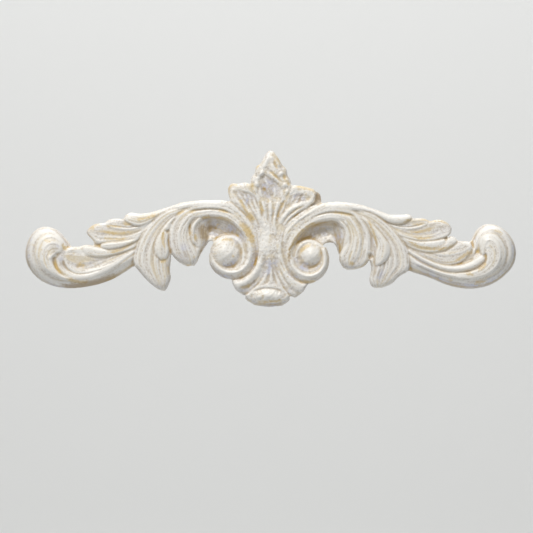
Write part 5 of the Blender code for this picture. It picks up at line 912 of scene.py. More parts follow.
def at_places(field, form, x, z):
    """Values of a grid at places between its cells."""
    col = np.clip((x - form.xs[0]) / form.cell, 0, len(form.xs) - LAST_CELL)
    row = np.clip((z - form.zs[0]) / form.cell, 0, len(form.zs) - LAST_CELL)
    c = col.astype(int)
    r = row.astype(int)
    fc = col - c
    fr = row - r
    return ((field[r, c] * (1 - fc) + field[r, c + 1] * fc) * (1 - fr)
            + (field[r + 1, c] * (1 - fc) + field[r + 1, c + 1] * fc) * fr)


def relief_sheet(form, level, height, spacing):
    """The front as an open sheet in mm: a grid cut along the outline and raised to its height."""
    sheet = bmesh.new()
    columns = int(2 * HALF_LENGTH / spacing)
    lines = int(2 * HALF_HEIGHT / spacing)
    bmesh.ops.create_grid(sheet, x_segments=columns, y_segments=lines, size=1.0,
                          matrix=Matrix.Diagonal((HALF_LENGTH, HALF_HEIGHT, 1.0, 1.0)))
    plan = np.array([vert.co[:2] for vert in sheet.verts])
    inside = at_places(level, form, plan[:, 0], plan[:, 1]) - 0.5
    for vert, value in zip(sheet.verts, inside):
        vert.co = (vert.co.x, value, vert.co.y)
    outer = [vert for vert, value in zip(sheet.verts, inside) if value < OUTSIDE]
    bmesh.ops.delete(sheet, geom=outer, context='VERTS')
    bmesh.ops.bisect_plane(sheet, geom=sheet.verts[:] + sheet.edges[:] + sheet.faces[:],
                           dist=CUT_FINENESS, plane_co=(0, 0, 0), plane_no=(0, 1, 0),
                           clear_inner=True)
    bmesh.ops.remove_doubles(sheet, verts=sheet.verts, dist=CUT_SEAM)
    place = np.array([(vert.co.x, vert.co.z) for vert in sheet.verts])
    rise = at_places(height, form, place[:, 0], place[:, 1])
    for vert, value in zip(sheet.verts, rise):
        vert.co.y = -value
    return sheet


# The sizes of the paint's patterns, in mm: the width of a brush streak and of a band of streaks,
# and the cloudy, speckled and dabbed marks. A streak is this many times longer than wide.
STREAK_WIDTH = 0.59
STREAK_STRETCH = 12.5
BAND_WIDTH = 2.5
CLOUD = 8.3
SPECK = 1.05
DAB = 2.3
BLOT = 3.8
PATCH = 3.3
# The dabs of the crest's middle reach this far from X = 0 and fade over this much of it, in mm.
MIDDLE_REACH = 30.0
MIDDLE_FADE = 20.0

# A stroke of paint fades out over this many times its width, narrows over this share of its
# length at each end, and is blurred by this much, in mm.
STROKE_SPREAD = 1.6
STROKE_TAPER = 0.3
STROKE_BLUR = 0.5

# Brush marks: the pitch and depth of each set of lines, in mm; how far a line wavers, as a share
# of its pitch, and the length that sets its waves, in mm; how many lines a set has before it
# comes round again; and the blur that takes off their edges, in mm.
BRUSH_LINES = ((0.75, 0.06), (1.6, 0.06), (3.4, 0.07))
BRUSH_WAVER = 0.35
WAVER_LENGTH = 9.0
LINES_IN_A_SET = 4096
BRUSH_BLUR = 0.16
# The cast's grain, in mm: its size, its height on the wings, and the height that the stippling of
# the middle adds, fading away from X = 0 over this reach.
GRAIN_SIZE = 0.28
GRAIN_HEIGHT = 0.03
STIPPLE_HEIGHT = 0.03
STIPPLE_REACH = 24.0

# How far round a place its depth is judged by, in mm, for a fine groove, a groove and a broad
# hollow; the least cover that divides there; and near the outline, where a recess counts less,
# the blur of the cover in mm, the blurred cover from which it counts, and how much more it takes.
FINE_REACH = 0.45
GROOVE_REACH = 0.9
HOLLOW_REACH = 3.5
LEAST_COVER = 0.02
RIM_BLUR = 1.0
RIM_COVER = 0.6
RIM_SPAN = 0.35

# The sides' rings, as shares of the depth that is left, and the share of the depth at the back
# that stays bare.
WALL_RINGS = (0.75, 0.35, 0.0)
BARE_SHARE = 0.12

# Where the patina was rubbed thick: strokes of gold and brown as (points, width), in mm.
# Some of the brown is painted shade instead, as said below.
GOLD = (
    # Left end scroll, its basin and the lip below.
    (((-104.4, -6), (-103.8, -8), (-102.6, -10), (-100.4, -9)), 1.2),
    (((-107.4, -13.6), (-107.5, -17), (-106.2, -20.6), (-103.8, -23.6)), 1.3),
    (((-101, -12.4), (-101, -14.2)), 0.9),
    (((-98.6, -11.6), (-98.4, -13.2)), 0.8),
    (((-97.6, -19), (-96, -18), (-92, -19)), 2.2),
    (((-104, -23.6), (-101.6, -24.8), (-98, -26), (-93.6, -26.6), (-88.6, -25.4)), 1.6),
    (((-118, -7.5), (-118.5, -9.2)), 1.2),
    (((-114, -5), (-111.4, -6.2), (-109, -7)), 0.7),
    (((-115, -10), (-113.6, -11)), 0.7),
    (((-111.6, -10.4), (-110.6, -11.8)), 0.8),
    (((-84, -26), (-80, -24.8), (-76, -23)), 1.4),
    # Left upper leaf.
    (((-84, 1.8), (-82, 1.6), (-78, 1.2), (-73, 0.6)), 1.0),
    (((-75, 3.4), (-72, 2.4), (-69, 1.9)), 1.3),
    (((-70, 5.2), (-66, 4.8), (-62, 5.3), (-58, 6.8), (-54, 8.8)), 1.2),
    (((-88, 0.6), (-89.6, -0.6)), 1.0),
    (((-90, -1.5), (-86, -1.2), (-80, -2), (-75, -2.4), (-70, -1.7), (-66, -0.3)), 1.2),
    (((-86, -4.2), (-80, -4.9), (-76, -5.2), (-72, -4.7), (-69, -3.7)), 1.1),
    (((-84, -11.4), (-78, -11.3), (-73, -9.5), (-66, -4.5)), 1.2),
    # The two hanging leaves on the left.
    (((-55.8, -15.6), (-54, -16), (-51.6, -15.4)), 1.8),
    (((-51.8, -16.6), (-51.4, -19.6), (-51.2, -24)), 1.0),
    (((-53, 2), (-53.8, -3), (-53.5, -8), (-52, -12)), 1.2),
    (((-38, -2), (-37.6, -4.6), (-37, -6.8)), 1.6),
    (((-40.2, -0.6), (-40.2, -3.4)), 1.2),
    (((-36, 4.6), (-33, 6), (-29, 5.9)), 1.2),
    (((-48, 6.6), (-46, 7.8), (-44, 8.8), (-42.5, 9.6)), 1.1),
    (((-38.8, -13.6), (-37.6, -14.4)), 1.6),
    (((-43, -18), (-41, -18.6), (-39, -18.5)), 1.2),
    # Left volute: the groove of its arch, the pit beside the leaf, the yellow band.
    (((-41.4, 7.8), (-39, 8.8), (-36.4, 9.5)), 1.3),
    (((-27, 9.8), (-24, 9.2), (-20.4, 7.8)), 1.3),
    (((-30, 5.8), (-24, 5.4), (-20, 4.2), (-17, 2.6)), 1.0),
    (((-18, 4.6), (-14.4, 2), (-12, -0.5), (-10.5, -3), (-9.6, -6), (-9.2, -10.4)), 3.4),
    (((-28, 0.8), (-25.2, 3)), 1.0),
    (((-15.5, -24.7), (-13.5, -24.2)), 1.0),
    (((-19.8, -13.8), (-18.2, -13)), 1.0),
    (((-20, -19.4), (-17.6, -18)), 0.9),
    (((-26, -5.8), (-22, -5.2), (-18, -5.6)), 1.1),
    # Palmette, neck and shell.
    (((-18.5, 17.5), (-16, 15), (-14, 12), (-12, 8), (-9.5, 4), (-7, 1)), 1.4),
    (((1, 35.5), (2.6, 33.5), (3.6, 31)), 0.8),
    (((0.4, 34), (2, 32), (3.4, 29.6)), 0.8),
    (((-1.8, 30), (1.2, 27.4), (3, 25.6), (5, 24.4)), 0.9),
    (((3.2, 23.6), (5.2, 21.6)), 0.9),
    (((-4.6, 20.6), (-2.6, 19.6)), 2.0),
    (((6.6, 28), (7, 25.4), (8.4, 22.8), (9.6, 20.8)), 1.6),
    (((6.2, 27.2), (6.8, 26.6)), 1.0),
    (((-6.2, 15), (-5, 11.4), (-3.2, 6.8)), 1.3),
    (((-11.6, 9), (-9.4, 6), (-7.6, 3)), 1.8),
    (((-2.2, 14.4), (-0.8, 12.6)), 0.9),
    (((7.4, 14.8), (5.6, 12), (3.8, 8.6)), 1.3),
    (((17, 17.6), (18, 17.2)), 1.2),
    (((18.4, 15.2), (18.9, 13.8)), 1.4),
    (((-16.5, -28.6), (-13, -29), (-9, -27.2)), 1.4),
    (((-5, -34.3), (-3.6, -33.8)), 1.3),
    # Outlines of the palmette and the upper leaves.
    (((-20.6, 16.4), (-21, 20), (-19.4, 22), (-15.6, 22)), 1.1),
    (((-9.2, 25.4), (-9.2, 21), (-7.6, 16)), 0.9),
    (((9.8, 20.8), (14, 21), (19, 20), (21.6, 18.6), (22, 15)), 1.3),
    (((1.6, 38), (4.4, 34), (6.6, 31), (8, 28.6)), 1.0),
    (((-4.4, 34.6), (-6.6, 31.6), (-7.8, 28.6)), 0.8),
    (((-91.6, -2.6), (-90.8, 0), (-88, 2), (-83, 3)), 0.9),
    (((71, 5), (76, 4.8), (79.6, 4), (85, 4), (89, 1.8), (89.8, -1)), 0.9),
    (((-9, -36), (-2, -36.4), (5, -35.8), (8.4, -34.6)), 1.2),
    (((30, 4), (24, 3.4), (20, 2.2), (17, 0.4), (13.4, -3.2), (11.2, -6.4), (9.8, -9), (8.9, -12),
      (9.2, -16.6), (10.6, -19.6)), 1.3),
    (((14.6, -13.4), (15.4, -10.6), (17.8, -8.6), (21, -7.8)), 1.5),
    (((14, -25.4), (19, -26.6), (24, -25.6)), 1.4),
    # Right volute's arch and the leaves beside it.
    (((28, 8.2), (32, 8.2), (36, 7.7), (40, 6.9), (43, 6.2)), 1.1),
    (((46, 6), (49, 3), (50.5, 0), (51.5, -3), (53, -7), (53, -9.5)), 1.2),
    (((38.5, -17.4), (42.4, -17)), 1.6),
    # Right upper leaf.
    (((65.6, 3), (68, 4.2), (70.6, 5.2)), 1.2),
    (((69.4, 2), (73, 2.4), (76, 2.8), (77.6, 2.2)), 1.2),
    (((67.6, -1), (72, -1.5), (76, -1), (80, 0.5), (83, 2)), 1.3),
    (((68, -3), (72, -4.3), (76, -4.8), (80, -4.2), (84, -2.5)), 1.1),
    (((87, -7.8), (84, -9), (80, -9.8), (76, -9.3), (72, -8), (65, -4)), 1.2),
    (((92.5, -6.8), (90, -8.6), (86, -9.9), (80, -10.9)), 1.0),
    # Right end scroll.
    (((100, -8.8), (99.4, -11), (97, -13), (94, -15), (90, -17)), 1.4),
    (((110, -0.6), (114, -1.4), (116.2, -3.6)), 0.9),
    (((103.5, -8), (103.2, -11), (102, -13.5)), 1.2),
    (((107.8, -15.5), (107, -17.8), (105, -19.7), (102, -21)), 1.2),
    (((96, -22.5), (102, -22.5)), 1.2),
    (((88, -25), (91, -26)), 1.0),
    (((100, -27.5), (104, -26.5), (109, -26)), 1.0),
)
# Brown glaze in pits and crevices, in the same form; the broad strokes along the underside of the
# left scroll and on the low lobe behind the right side lobe are painted shade.
BROWN_GLAZE_AND_SHADE = (
    (((-103.9, -16), (-102.8, -18.2)), 1.3),
    (((-97.4, -19), (-95.6, -18.4)), 1.0),
    (((-40.2, -1.8), (-40.2, -2.8)), 0.9),
    (((-41, -4.8), (-40, -5.2)), 0.9),
    (((-34.2, 3.4), (-34.2, -0.6), (-33.4, -3.6), (-32.8, -7)), 4.2),
    (((-32.2, -2), (-31.2, -0.2), (-29.6, 0.8), (-27, 0.8)), 2.8),
    (((-34.6, -9.8), (-35.4, -12)), 1.4),
    (((-20.6, -19.6), (-18.8, -18.9), (-17.4, -17.8)), 1.3),
    (((-16, -25), (-14.4, -24.4)), 1.2),
    (((-51.9, -0.6), (-51.6, -2)), 1.8),
    (((-50, -8.8), (-50.1, -11), (-49.5, -13)), 1.2),
    (((-3.4, 23.2), (-3, 22.6)), 1.3),
    (((-1.4, 22), (-1, 21.6)), 1.2),
    (((-5, 24.2), (-4.8, 23.6)), 1.0),
    (((14.2, 15.2), (15, 14.4)), 1.2),
    (((1, -13.6), (1.5, -14.6)), 1.1),
    (((-5.4, 19.8), (-2, 20.4)), 1.4),
    (((-1.6, -15), (-1.4, -16)), 0.9),
    (((4.7, -16.8), (5, -18)), 1.0),
    (((1.7, -16.6), (1.9, -17.4)), 0.8),
    (((6.6, -32.2), (7.2, -33)), 1.1),
    (((10.6, -32.6), (11, -33.4)), 0.8),
    (((27.4, -5.6), (29.4, -6.4), (31.4, -6.2)), 1.5),
    (((49.4, -13.6), (49.8, -15)), 2.2),
    (((21.8, 18.4), (23.8, 16.6), (24.6, 13)), 4.6),
    (((103.8, -19.4), (104.4, -20)), 1.2),
    (((-71, -19), (-80, -24.2), (-90, -27.4), (-101, -28.6), (-110, -27)), 3.0),
    (((11, -6.4), (9.2, -11), (9, -16), (10, -19.6)), 1.0),
)
# Painted shade: grey lilac strokes in broad hollows and on undersides, where shade falls, in the
# same form.
SHADE_STROKES = (
    (((-3.4, 26), (-2, 21.6), (0, 17.6), (1.6, 15.4)), 7.4),
    (((-14.4, 15.4), (-11.6, 14.8), (-9.4, 13)), 4.6),
    (((10.6, 14.2), (13.6, 15.4), (17, 14.6)), 4.2),
    (((-0.6, -12), (0, -17), (0.2, -22), (0.4, -28)), 6.0),
    (((-24, 2), (-20, -0.6), (-16, -3.4), (-12.6, -8)), 5.0),
    (((-24, -15.4), (-21, -17), (-17.4, -15.6)), 5.0),
    (((-31, -17), (-28.4, -21), (-24, -24), (-18, -24.6)), 3.4),
    (((-9, -8), (-8.2, -13), (-9.6, -18), (-12.6, -22)), 3.0),
    (((-44.4, -6), (-43, -11), (-41, -16)), 4.0),
    (((-107.6, -9), (-107, -11.4)), 2.2),
    (((-105.6, -13), (-104.4, -17), (-103, -20)), 2.6),
    (((-106, -6), (-105.6, -11)), 2.2),
    (((13.4, -16.6), (16, -18.8), (20.6, -19)), 3.6),
    (((9.6, -19), (11, -23.4), (14.4, -25.8)), 3.0),
    (((54, -19.4), (54.6, -22), (53.4, -26)), 3.4),
    (((34, -2), (33.6, -6), (33.6, -9)), 3.4),
    (((-8, -38), (0, -38.6), (6, -37.4)), 2.4),
    (((-98, -28), (-106, -28.6), (-113, -25.6)), 2.4),
    (((98, -28.4), (107, -27.2), (114, -23.8)), 2.4),
    (((70, -14), (76, -17.6), (84, -21)), 4.4),
    (((72, -19.8), (80, -22.8), (88, -25.8)), 2.4),
)
# Where the white was rubbed or brushed thickest, and painted highlights on the lit tops of teeth,
# knobs, bulbs, rims and the neck, in the same form.
PALE_AND_HIGHLIGHTS = (
    (((-1.6, 5), (-2.4, -1), (-3, -6), (-2.8, -11), (-1.6, -16)), 4.0),
    (((-5.6, -4), (-4.4, -8), (-4.6, -13)), 2.4),
    (((-4.6, -17), (-6.5, -22), (-10, -24.6), (-15.4, -26.6)), 3.0),
    (((-6, -31.8), (-1.6, -31.4), (3.6, -32)), 3.2),
    (((-6.8, -34.4), (-6, -34)), 2.4),
    (((-11.4, -10), (-10.9, -13), (-11.4, -16), (-13.4, -19.4), (-17, -21.6), (-21, -21.8),
      (-26, -19.6)), 1.8),
    (((10.8, -14), (11, -18), (13, -21.6), (16, -23.6), (19, -24), (22, -22.6), (24.6, -19.4)), 1.8),
    (((-40, 11.6), (-34, 12.6), (-27, 12.6), (-21, 11.2)), 2.6),
    (((-34, 7.8), (-30, 8.2), (-25, 7.6)), 1.8),
    (((46, 9.4), (38, 11.2), (30, 11.6), (23, 9.4)), 2.8),
    (((36, 5.8), (30, 6.6), (24, 5.4)), 1.8),
    (((6.2, -4), (7.4, -0.6), (10.4, 3), (14, 6)), 1.4),
    (((-4.4, 28.4), (-3.2, 31.6), (-0.6, 35.4), (1, 34.8)), 1.4),
    (((-5.2, 28.4), (-4.2, 27.8)), 2.0),
    (((5, 28), (5.4, 27.4)), 2.0),
    (((-7, 22.8), (-6.8, 22)), 2.0),
    (((7, 22.6), (7.2, 22)), 2.0),
    (((-19, 19.2), (-16, 19.8), (-13, 19.2), (-10, 17.8), (-8, 15.6)), 1.3),
    (((8, 16), (10, 17.6), (13, 18.6), (17, 18)), 1.2),
    (((5, 4), (8.8, 9), (12.6, 11.6), (16.4, 13.4)), 1.8),
    (((-4, 8), (-4.2, 4), (-3.8, 0)), 1.2),
    (((-66, -1), (-63, 1), (-58, 4)), 2.2),
    (((-87.6, 1.4), (-84, 2.6), (-80, 2.4)), 1.4),
    (((-72.8, 6.4), (-70, 7.2), (-64, 6.8)), 1.6),
    (((-92, -10.4), (-86, -10.6), (-80, -11.4)), 1.8),
    (((-113, -4.8), (-112, -8), (-112.4, -11.6)), 3.6),
    (((-119, -13), (-118, -18), (-114.6, -22.6)), 1.3),
    (((-110.6, -14.6), (-108.4, -13.4), (-106.4, -12.6)), 1.3),
    (((-105, -21.4), (-102, -23.2), (-96, -24.2), (-90, -23.2), (-82, -19.4)), 2.2),
    (((-100, -11), (-94, -11.4), (-88, -13)), 2.4),
    (((-55.8, -4), (-56.2, -9), (-55.6, -13)), 2.2),
    (((-46, 0), (-45.8, -5), (-44.4, -10)), 1.1),
    (((-38.8, 1), (-39.2, -1.6), (-38.8, -3.6)), 1.0),
    (((-51, 4), (-49.6, 0), (-49.4, -4)), 1.6),
    (((56.4, -4), (58.6, -9), (57.4, -14.6), (54, -17.6)), 1.6),
    (((38, 0), (38.2, -4), (37, -7.4)), 1.4),
    (((42.4, -1), (42, -5), (41, -9), (39.6, -13)), 1.4),
    (((46.6, -3), (47, -7), (46, -12)), 1.2),
    (((62, 4.4), (66, 6), (69.6, 6.4)), 2.2),
    (((79.6, 2.8), (84, 4), (87.6, 2)), 1.6),
    (((76, -7), (82, -7.6), (86.4, -6)), 2.0),
    (((88, -6.4), (90.6, -5), (92, -5.6)), 1.4),
    (((84, -19.4), (92, -20.2), (99, -18.4), (105.4, -15)), 2.4),
    (((107, -4.4), (107.6, -8), (108.4, -11.4)), 2.2),
    (((106, 0), (110, 1.2), (114.6, -0.6), (118.4, -5.6), (119.4, -11.4)), 1.4),
    (((116.4, -8), (116.4, -13), (114.6, -17.6)), 1.2),
    (((50, -22.6), (50.2, -26), (52, -28.4)), 1.1),
)


def stain_and_shade(form, strokes):
    """Shares from 0 to 1 over the grid, soft at the sides and ends of every stroke."""
    field = np.zeros_like(form.height)
    for points, width in strokes:
        share, rows, cols = form.line(points, width * STROKE_SPREAD, STROKE_TAPER)
        field[rows, cols] = np.maximum(field[rows, cols], share)
    return soften(field, STROKE_BLUR / form.cell)


def brush_marks(form, height):
    """Fine lines that the brush leaves along each form, and the cast's grain, in mm."""
    rng = np.random.default_rng(7)
    marks = np.zeros_like(height)
    for pitch, depth in BRUSH_LINES:
        lines = rng.standard_normal(LINES_IN_A_SET)
        place = form.across / pitch + BRUSH_WAVER * np.sin(form.along / WAVER_LENGTH)
        low = np.floor(place).astype(int)
        part = ease(place - low)
        marks += depth * (lines[low % LINES_IN_A_SET] * (1 - part)
                          + lines[(low + 1) % LINES_IN_A_SET] * part)
    grain = soften(rng.standard_normal(height.shape), GRAIN_SIZE / form.cell)
    coarse = GRAIN_HEIGHT + STIPPLE_HEIGHT * np.exp(-(form.xs / STIPPLE_REACH) ** 2)
    return soften(marks, BRUSH_BLUR / form.cell) + coarse * grain / grain.std()


def recesses(form, height, reach):
    """How far each place lies below its surroundings, in mm; ridges are negative."""
    cover = np.maximum(soften(form.cover, reach / form.cell), LEAST_COVER)
    depth = soften(height * form.cover, reach / form.cell) / cover - height
    near = soften(form.cover, RIM_BLUR / form.cell)
    return depth * np.clip((near - RIM_COVER) / RIM_SPAN, 0.0, 1.0)


def wall_rings(body):
    """Sides straight back from the outline to Y = 0, in rings, and the flat back."""
    edges = [edge for edge in body.edges if edge.is_boundary]
    for share in WALL_RINGS:
        made = bmesh.ops.extrude_edge_only(body, edges=edges)["geom"]
        verts = [item for item in made if isinstance(item, bmesh.types.BMVert)]
        for vert in verts:
            vert.co.y *= share
        edges = [item for item in made
                 if isinstance(item, bmesh.types.BMEdge) and item.is_boundary]
    bmesh.ops.contextual_create(body, geom=edges)
    bmesh.ops.recalc_face_normals(body, faces=body.faces)
    # Smooth all over except at the rim of the flat back.
    for face in body.faces:
        face.smooth = True
    for edge in edges:
        edge.smooth = False


def paint_shares(form, height):
    """Over the grid, how much of each coat the carving holds, from 0 to 1."""
    flat = evened(form)
    fine = recesses(form, flat + brush_marks(form, height), FINE_REACH)
    groove = recesses(form, flat, GROOVE_REACH)
    hollow = recesses(form, flat, HOLLOW_REACH)
    # How strong a coat is at most, the depth in mm that it follows, the depth at which it sets
    # in, and how much more makes it full.
    shares = {name: most * ease((depth - start) / span) for name, most, depth, start, span in (
        # The hollow share is painted shade in broad hollows; the groove share darkens the fine
        # grooves, partly as glaze and partly as painted shade.
        ("hollow", 0.55, hollow, -0.4, 1.4),
        ("groove", 0.6, groove + fine, 0.02, 0.3),
        ("pooled", 1.0, groove + 0.1 * hollow, 0.14, 0.36),
        ("ridge", 0.82, -(groove + 1.5 * fine), 0.0, 0.2))}
    # Strokes: the gold is glaze, the grey lilac is painted shade, the brown is glaze and in places
    # painted shade, the pale is rubbed white and painted highlights.
    for name, most, strokes in (("gold", 1.0, GOLD), ("brown", 1.0, BROWN_GLAZE_AND_SHADE),
                                ("stroked_shade", 0.65, SHADE_STROKES), ("pale", 1.0, PALE_AND_HIGHLIGHTS)):
        shares[name] = most * stain_and_shade(form, strokes)
    return shares


def build_surface():
    """The crest's fine surface, with the values its paint follows."""
    form = build_relief(GRID_CELL)
    level, height = finished(form)
    front_limit = -solid_box[0][1] / MILLIMETRE
    carved = np.minimum(height + brush_marks(form, height), front_limit)
    body = relief_sheet(form, level, carved, MESH_SPACING)
    wall_rings(body)
    bmesh.ops.scale(body, vec=(MILLIMETRE,) * 3, verts=body.verts)
    mesh = bpy.data.meshes.new("carved_relief")
    body.to_mesh(mesh)
    body.free()
    places = np.empty(len(mesh.vertices) * 3, dtype=np.float32)
    mesh.vertices.foreach_get("co", places)
    x, y, z = places.reshape(-1, 3).T / MILLIMETRE
    # 1 on the front, falling to 0 where the sides meet the back.
    front = np.clip(-y / np.maximum(at_places(height, form, x, z), 1.0), 0.0, 1.0)
    shares = {name: at_places(field, form, x, z) * front
              for name, field in paint_shares(form, height).items()}
    shares["middle"] = ease((MIDDLE_REACH - np.abs(x)) / MIDDLE_FADE)
    shares["bare"] = 1.0 - ease(front / BARE_SHARE)
    for name, values in shares.items():
        layer = mesh.attributes.new(name, 'FLOAT', 'POINT')
        layer.data.foreach_set("value", np.ascontiguousarray(values, dtype=np.float32))
    flow = np.zeros((len(x), 3), dtype=np.float32)
    flow[:, 0] = at_places(form.along, form, x, z) / STREAK_STRETCH
    flow[:, 1] = at_places(form.across, form, x, z)
    layer = mesh.attributes.new("flow", 'FLOAT_VECTOR', 'POINT')
    layer.data.foreach_set("vector", flow.ravel())
    return bpy.data.objects.new("carved_relief", mesh)


def linear(hexcode):
    """An sRGB hex colour as linear RGBA."""
    channels = [int(hexcode[i:i + 2], 16) / 255 for i in (1, 3, 5)]
    return tuple(c / 12.92 if c <= 0.04045 else ((c + 0.055) / 1.055) ** 2.4
                 for c in channels) + (1.0,)


def add_node(tree, kind, output, settings=None, inputs=None):
    """A node with its settings and inputs, each a value or the socket that feeds it."""
    node = tree.nodes.new("ShaderNode" + kind)
    for name, value in (settings or {}).items():
        setattr(node, name, value)
    for name, value in (inputs or {}).items():
        if isinstance(value, bpy.types.NodeSocket):
            tree.links.new(value, node.inputs[name])
        else:
            node.inputs[name].default_value = value
    return node.outputs[output]


def brushed_chalk_paint():
    """Chalk paint, brushed over cast resin and rubbed back: long fine streaks and a low sheen.

    The ivory coat goes white on the ridges and lets a gold and brown glaze show where it pooled
    in the grooves. Shade and light are painted in too: a grey lilac in broad hollows and on
    undersides is painted shade, as are some of the brown and part of the grey-tan in the fine
    grooves, and the whitest rubbed marks on teeth, knobs, bulbs and the neck are partly painted
    highlights.
    """
    material = bpy.data.materials.new("brushed_chalk_paint")
    material.use_nodes = True
    tree = material.node_tree
    place = add_node(tree, 'TexCoord', "Object")
    flow = add_node(tree, 'Attribute', "Vector", {"attribute_name": "flow"})
    value = {name: add_node(tree, 'Attribute', "Fac", {"attribute_name": name})
             for name in ("hollow", "groove", "pooled", "ridge", "gold", "brown", "stroked_shade", "pale",
                          "middle", "bare")}
    # Patterns along the brush, in mm, and over the whole cast.
    for name, vector, size, detail in (
            ("streaks", flow, STREAK_WIDTH, 3.0),
            ("bands", flow, BAND_WIDTH, 2.0),
            ("clouds", place, CLOUD * MILLIMETRE, 2.0),
            ("specks", place, SPECK * MILLIMETRE, 2.0),
            ("dabs", place, DAB * MILLIMETRE, 3.0),
            ("blots", place, BLOT * MILLIMETRE, 2.0),
            ("patches", place, PATCH * MILLIMETRE, 2.0)):
        value[name] = add_node(tree, 'TexNoise', "Fac", None,
                               {"Vector": vector, "Scale": 1.0 / size, "Detail": detail})
    # The middle of the crest is dabbed rather than brushed.
    for name, brushed, dabbed in (("fine", "streaks", "dabs"), ("broad", "bands", "blots")):
        value[name] = add_node(tree, 'Mix', "Result", {"data_type": 'FLOAT'},
                               {"Factor": value["middle"], "A": value[brushed],
                                "B": value[dabbed]})
    # Sums of two patterns, the first of them weighted.
    for name, first, weight, second in (
            ("mottle", "specks", 0.9, "fine"),
            ("warmth", "clouds", 0.8, "broad"),
            ("grit", "specks", 1.0, "fine"),
            # The pale strokes, rubbed white and painted highlights, broken by the streaks.
            ("rubbed_and_highlit", "pale", 1.0, "fine"),
            ("gold", "grit", 1.3, "gold"),
            ("brown", "grit", 1.3, "brown")):
        value[name] = add_node(tree, 'Math', "Value", {"operation": 'MULTIPLY_ADD'},
                               {0: value[first], 1: weight, 2: value[second]})
    # How much of a coat shows as a pattern goes from low to high: from the least to the most.
    for name, pattern, low, high, least, most in (
            ("whiter", "mottle", 0.75, 1.08, 0.0, 1.0),
            ("yellowed", "broad", 0.48, 0.66, 0.0, 0.6),
            ("cloudy", "clouds", 0.34, 0.6, 0.0, 1.0),
            ("lilac", "patches", 0.43, 0.57, 0.0, 1.0),
            ("uneven", "warmth", 0.84, 1.08, 0.1, 1.1),
            ("rubbed_and_highlit", "rubbed_and_highlit", 0.65, 1.25, 0.0, 0.82),
            ("gold", "gold", 1.4, 2.3, 0.0, 0.85),
            ("brown", "brown", 1.35, 2.3, 0.0, 0.75)):
        value[name] = add_node(tree, 'MapRange', "Result", {"interpolation_type": 'SMOOTHSTEP'},
                               {"Value": value[pattern], "From Min": low, "From Max": high,
                                "To Min": least, "To Max": most})
    # Coats made of two or three of these: hollow times cloudy plus the grey lilac strokes, which
    # is the painted shade, and so on.
    for name, operation, parts in (
            ("painted_shade", 'MULTIPLY_ADD', ("hollow", "cloudy", "stroked_shade")),
            ("ochre", 'MULTIPLY', ("pooled", "uneven")),
            ("white", 'MAXIMUM', ("ridge", "rubbed_and_highlit"))):
        value[name] = add_node(tree, 'Math', "Value", {"operation": operation, "use_clamp": True},
                               dict(enumerate(value[part] for part in parts)))
    # The painted shade's greys: taupe, and lilac in patches.
    shade_greys = add_node(tree, 'Mix', "Result", {"data_type": 'RGBA'},
                     {"Factor": value["lilac"], "A": linear("#c6bcb2"), "B": linear("#d0d3e6")})
    # The coats in the order they are laid, the bare cast of the back last. The grey one is painted
    # shade, the grey-tan of the grooves partly so, and the white partly painted highlight.
    colour = linear("#d6cdc0")
    for name, coat in (("whiter", linear("#fbf8f2")), ("yellowed", linear("#ebdab4")),
                       ("painted_shade", shade_greys), ("groove", linear("#cbbda6")),
                       ("ochre", linear("#c3a56c")), ("white", linear("#fdfbf6")),
                       ("gold", linear("#dfc48a")), ("brown", linear("#a58a60")),
                       ("bare", linear("#d9d3c6"))):
        colour = add_node(tree, 'Mix', "Result", {"data_type": 'RGBA'},
                          {"Factor": value[name], "A": colour, "B": coat})
    shader = tree.nodes["Principled BSDF"]
    tree.links.new(colour, shader.inputs["Base Color"])
    for name, number in (("Roughness", 0.42), ("IOR", 1.5), ("Specular IOR Level", 0.45),
                         ("Coat Weight", 0.12), ("Coat Roughness", 0.35)):
        shader.inputs[name].default_value = number
    return material


def matt_paper():
    """Pale studio paper: even and without sheen."""
    material = bpy.data.materials.new("matt_paper")
    material.use_nodes = True
    shader = material.node_tree.nodes["Principled BSDF"]
    shader.inputs["Base Color"].default_value = linear("#e8e8e6")
    shader.inputs["Roughness"].default_value = 0.9
    return material


def soft_light(name, place, target, size, power, colour):
    """A square studio softbox, aimed at a point; its power is in watts."""
    data = bpy.data.lights.new(name, 'AREA')
    data.size = size
    data.energy = power
    data.color = colour
    lamp = bpy.data.objects.new(name, data)
    lamp.location = place
    lamp.rotation_euler = (Vector(target) - Vector(place)).to_track_quat('-Z', 'Y').to_euler()
    bpy.context.scene.collection.objects.link(lamp)


# The floor, in metres: where it begins before the crest, how far behind the crest it has bent up,
# its level, its top, half its width, the bend's radius, and the steps that the bend is made in.
FLOOR_NEAR = -2.5
FLOOR_FAR = 2.2
FLOOR_LEVEL = -1.1
FLOOR_TOP = 3.0
FLOOR_HALF_WIDTH = 4.0
BEND = 0.8
BEND_STEPS = 12

# The photograph's frame: its side in pixels, how much of the crest one pixel covers, and the
# pixel that the crest's origin falls on.
IMAGE_SIDE = 533
PIXEL_MM = 0.5
ORIGIN_PIXEL = (271, 229)
# The camera stands this far from the middle of the relief's depth, which lies this far before
# the back, in metres; its sensor is in mm, and it sees what lies between these distances.
CAMERA_DISTANCE = 1.7
RELIEF_MIDDLE = -5.5 * MILLIMETRE
SENSOR = 36.0
NEAREST = 0.01
FARTHEST = 20.0


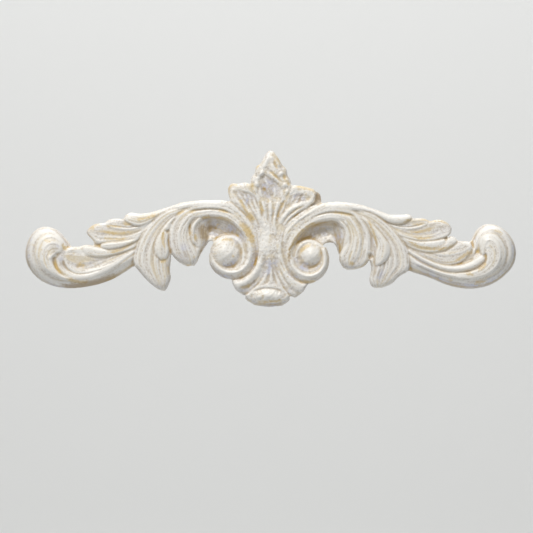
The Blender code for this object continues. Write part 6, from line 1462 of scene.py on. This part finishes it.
def sweep():
    """A pale floor that bends up into the background some way behind the crest."""
    outline = [(FLOOR_NEAR, FLOOR_LEVEL)]
    for step in range(BEND_STEPS + 1):
        angle = math.pi / 2 * step / BEND_STEPS
        outline.append((FLOOR_FAR - BEND + BEND * math.sin(angle),
                        FLOOR_LEVEL + BEND - BEND * math.cos(angle)))
    outline.append((FLOOR_FAR, FLOOR_TOP))
    verts = [(side * FLOOR_HALF_WIDTH, y, z) for y, z in outline for side in (-1, 1)]
    faces = [(i, i + 1, i + 3, i + 2) for i in range(0, len(verts) - 2, 2)]
    mesh = bpy.data.meshes.new("floor")
    mesh.from_pydata(verts, [], faces)
    mesh.shade_smooth()
    floor = bpy.data.objects.new("floor", mesh)
    mesh.materials.append(matt_paper())
    bpy.context.scene.collection.objects.link(floor)


def studio_light():
    """Cool light from all round, a warm softbox up to the left, and one on the backdrop."""
    world = bpy.data.worlds.new("studio")
    bpy.context.scene.world = world
    world.use_nodes = True
    light = world.node_tree.nodes["Background"].inputs
    light["Color"].default_value = (0.93, 0.96, 1.0, 1.0)
    light["Strength"].default_value = 0.395
    soft_light("key", place=(-0.3, -0.8, 1.1), target=(0, 0, 0), size=0.5, power=14.4,
               colour=(1.0, 0.97, 0.92))
    soft_light("backdrop", place=(0, 1.0, 1.7), target=(0, 2.2, 0.1), size=1.5, power=28.0,
               colour=(1.0, 1.0, 1.0))
    bpy.context.scene.view_settings.view_transform = 'Standard'


def straight_on_camera():
    """A camera square to the crest, which puts it where the photograph has it."""
    data = bpy.data.cameras.new("camera")
    camera = bpy.data.objects.new("camera", data)
    bpy.context.scene.collection.objects.link(camera)
    bpy.context.scene.camera = camera
    middle = (IMAGE_SIDE / 2 - ORIGIN_PIXEL[0], ORIGIN_PIXEL[1] - IMAGE_SIDE / 2)
    camera.location = (middle[0] * PIXEL_MM * MILLIMETRE, RELIEF_MIDDLE - CAMERA_DISTANCE,
                       middle[1] * PIXEL_MM * MILLIMETRE)
    camera.rotation_euler = (math.pi / 2, 0.0, 0.0)
    data.sensor_width = SENSOR
    data.lens = SENSOR * CAMERA_DISTANCE / (IMAGE_SIDE * PIXEL_MM * MILLIMETRE)
    data.clip_start = NEAREST
    data.clip_end = FARTHEST


crest = build_surface()
bpy.context.scene.collection.objects.link(crest)
crest.data.materials.append(brushed_chalk_paint())
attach(crest, "root")
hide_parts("crest")

sweep()
studio_light()
straight_on_camera()
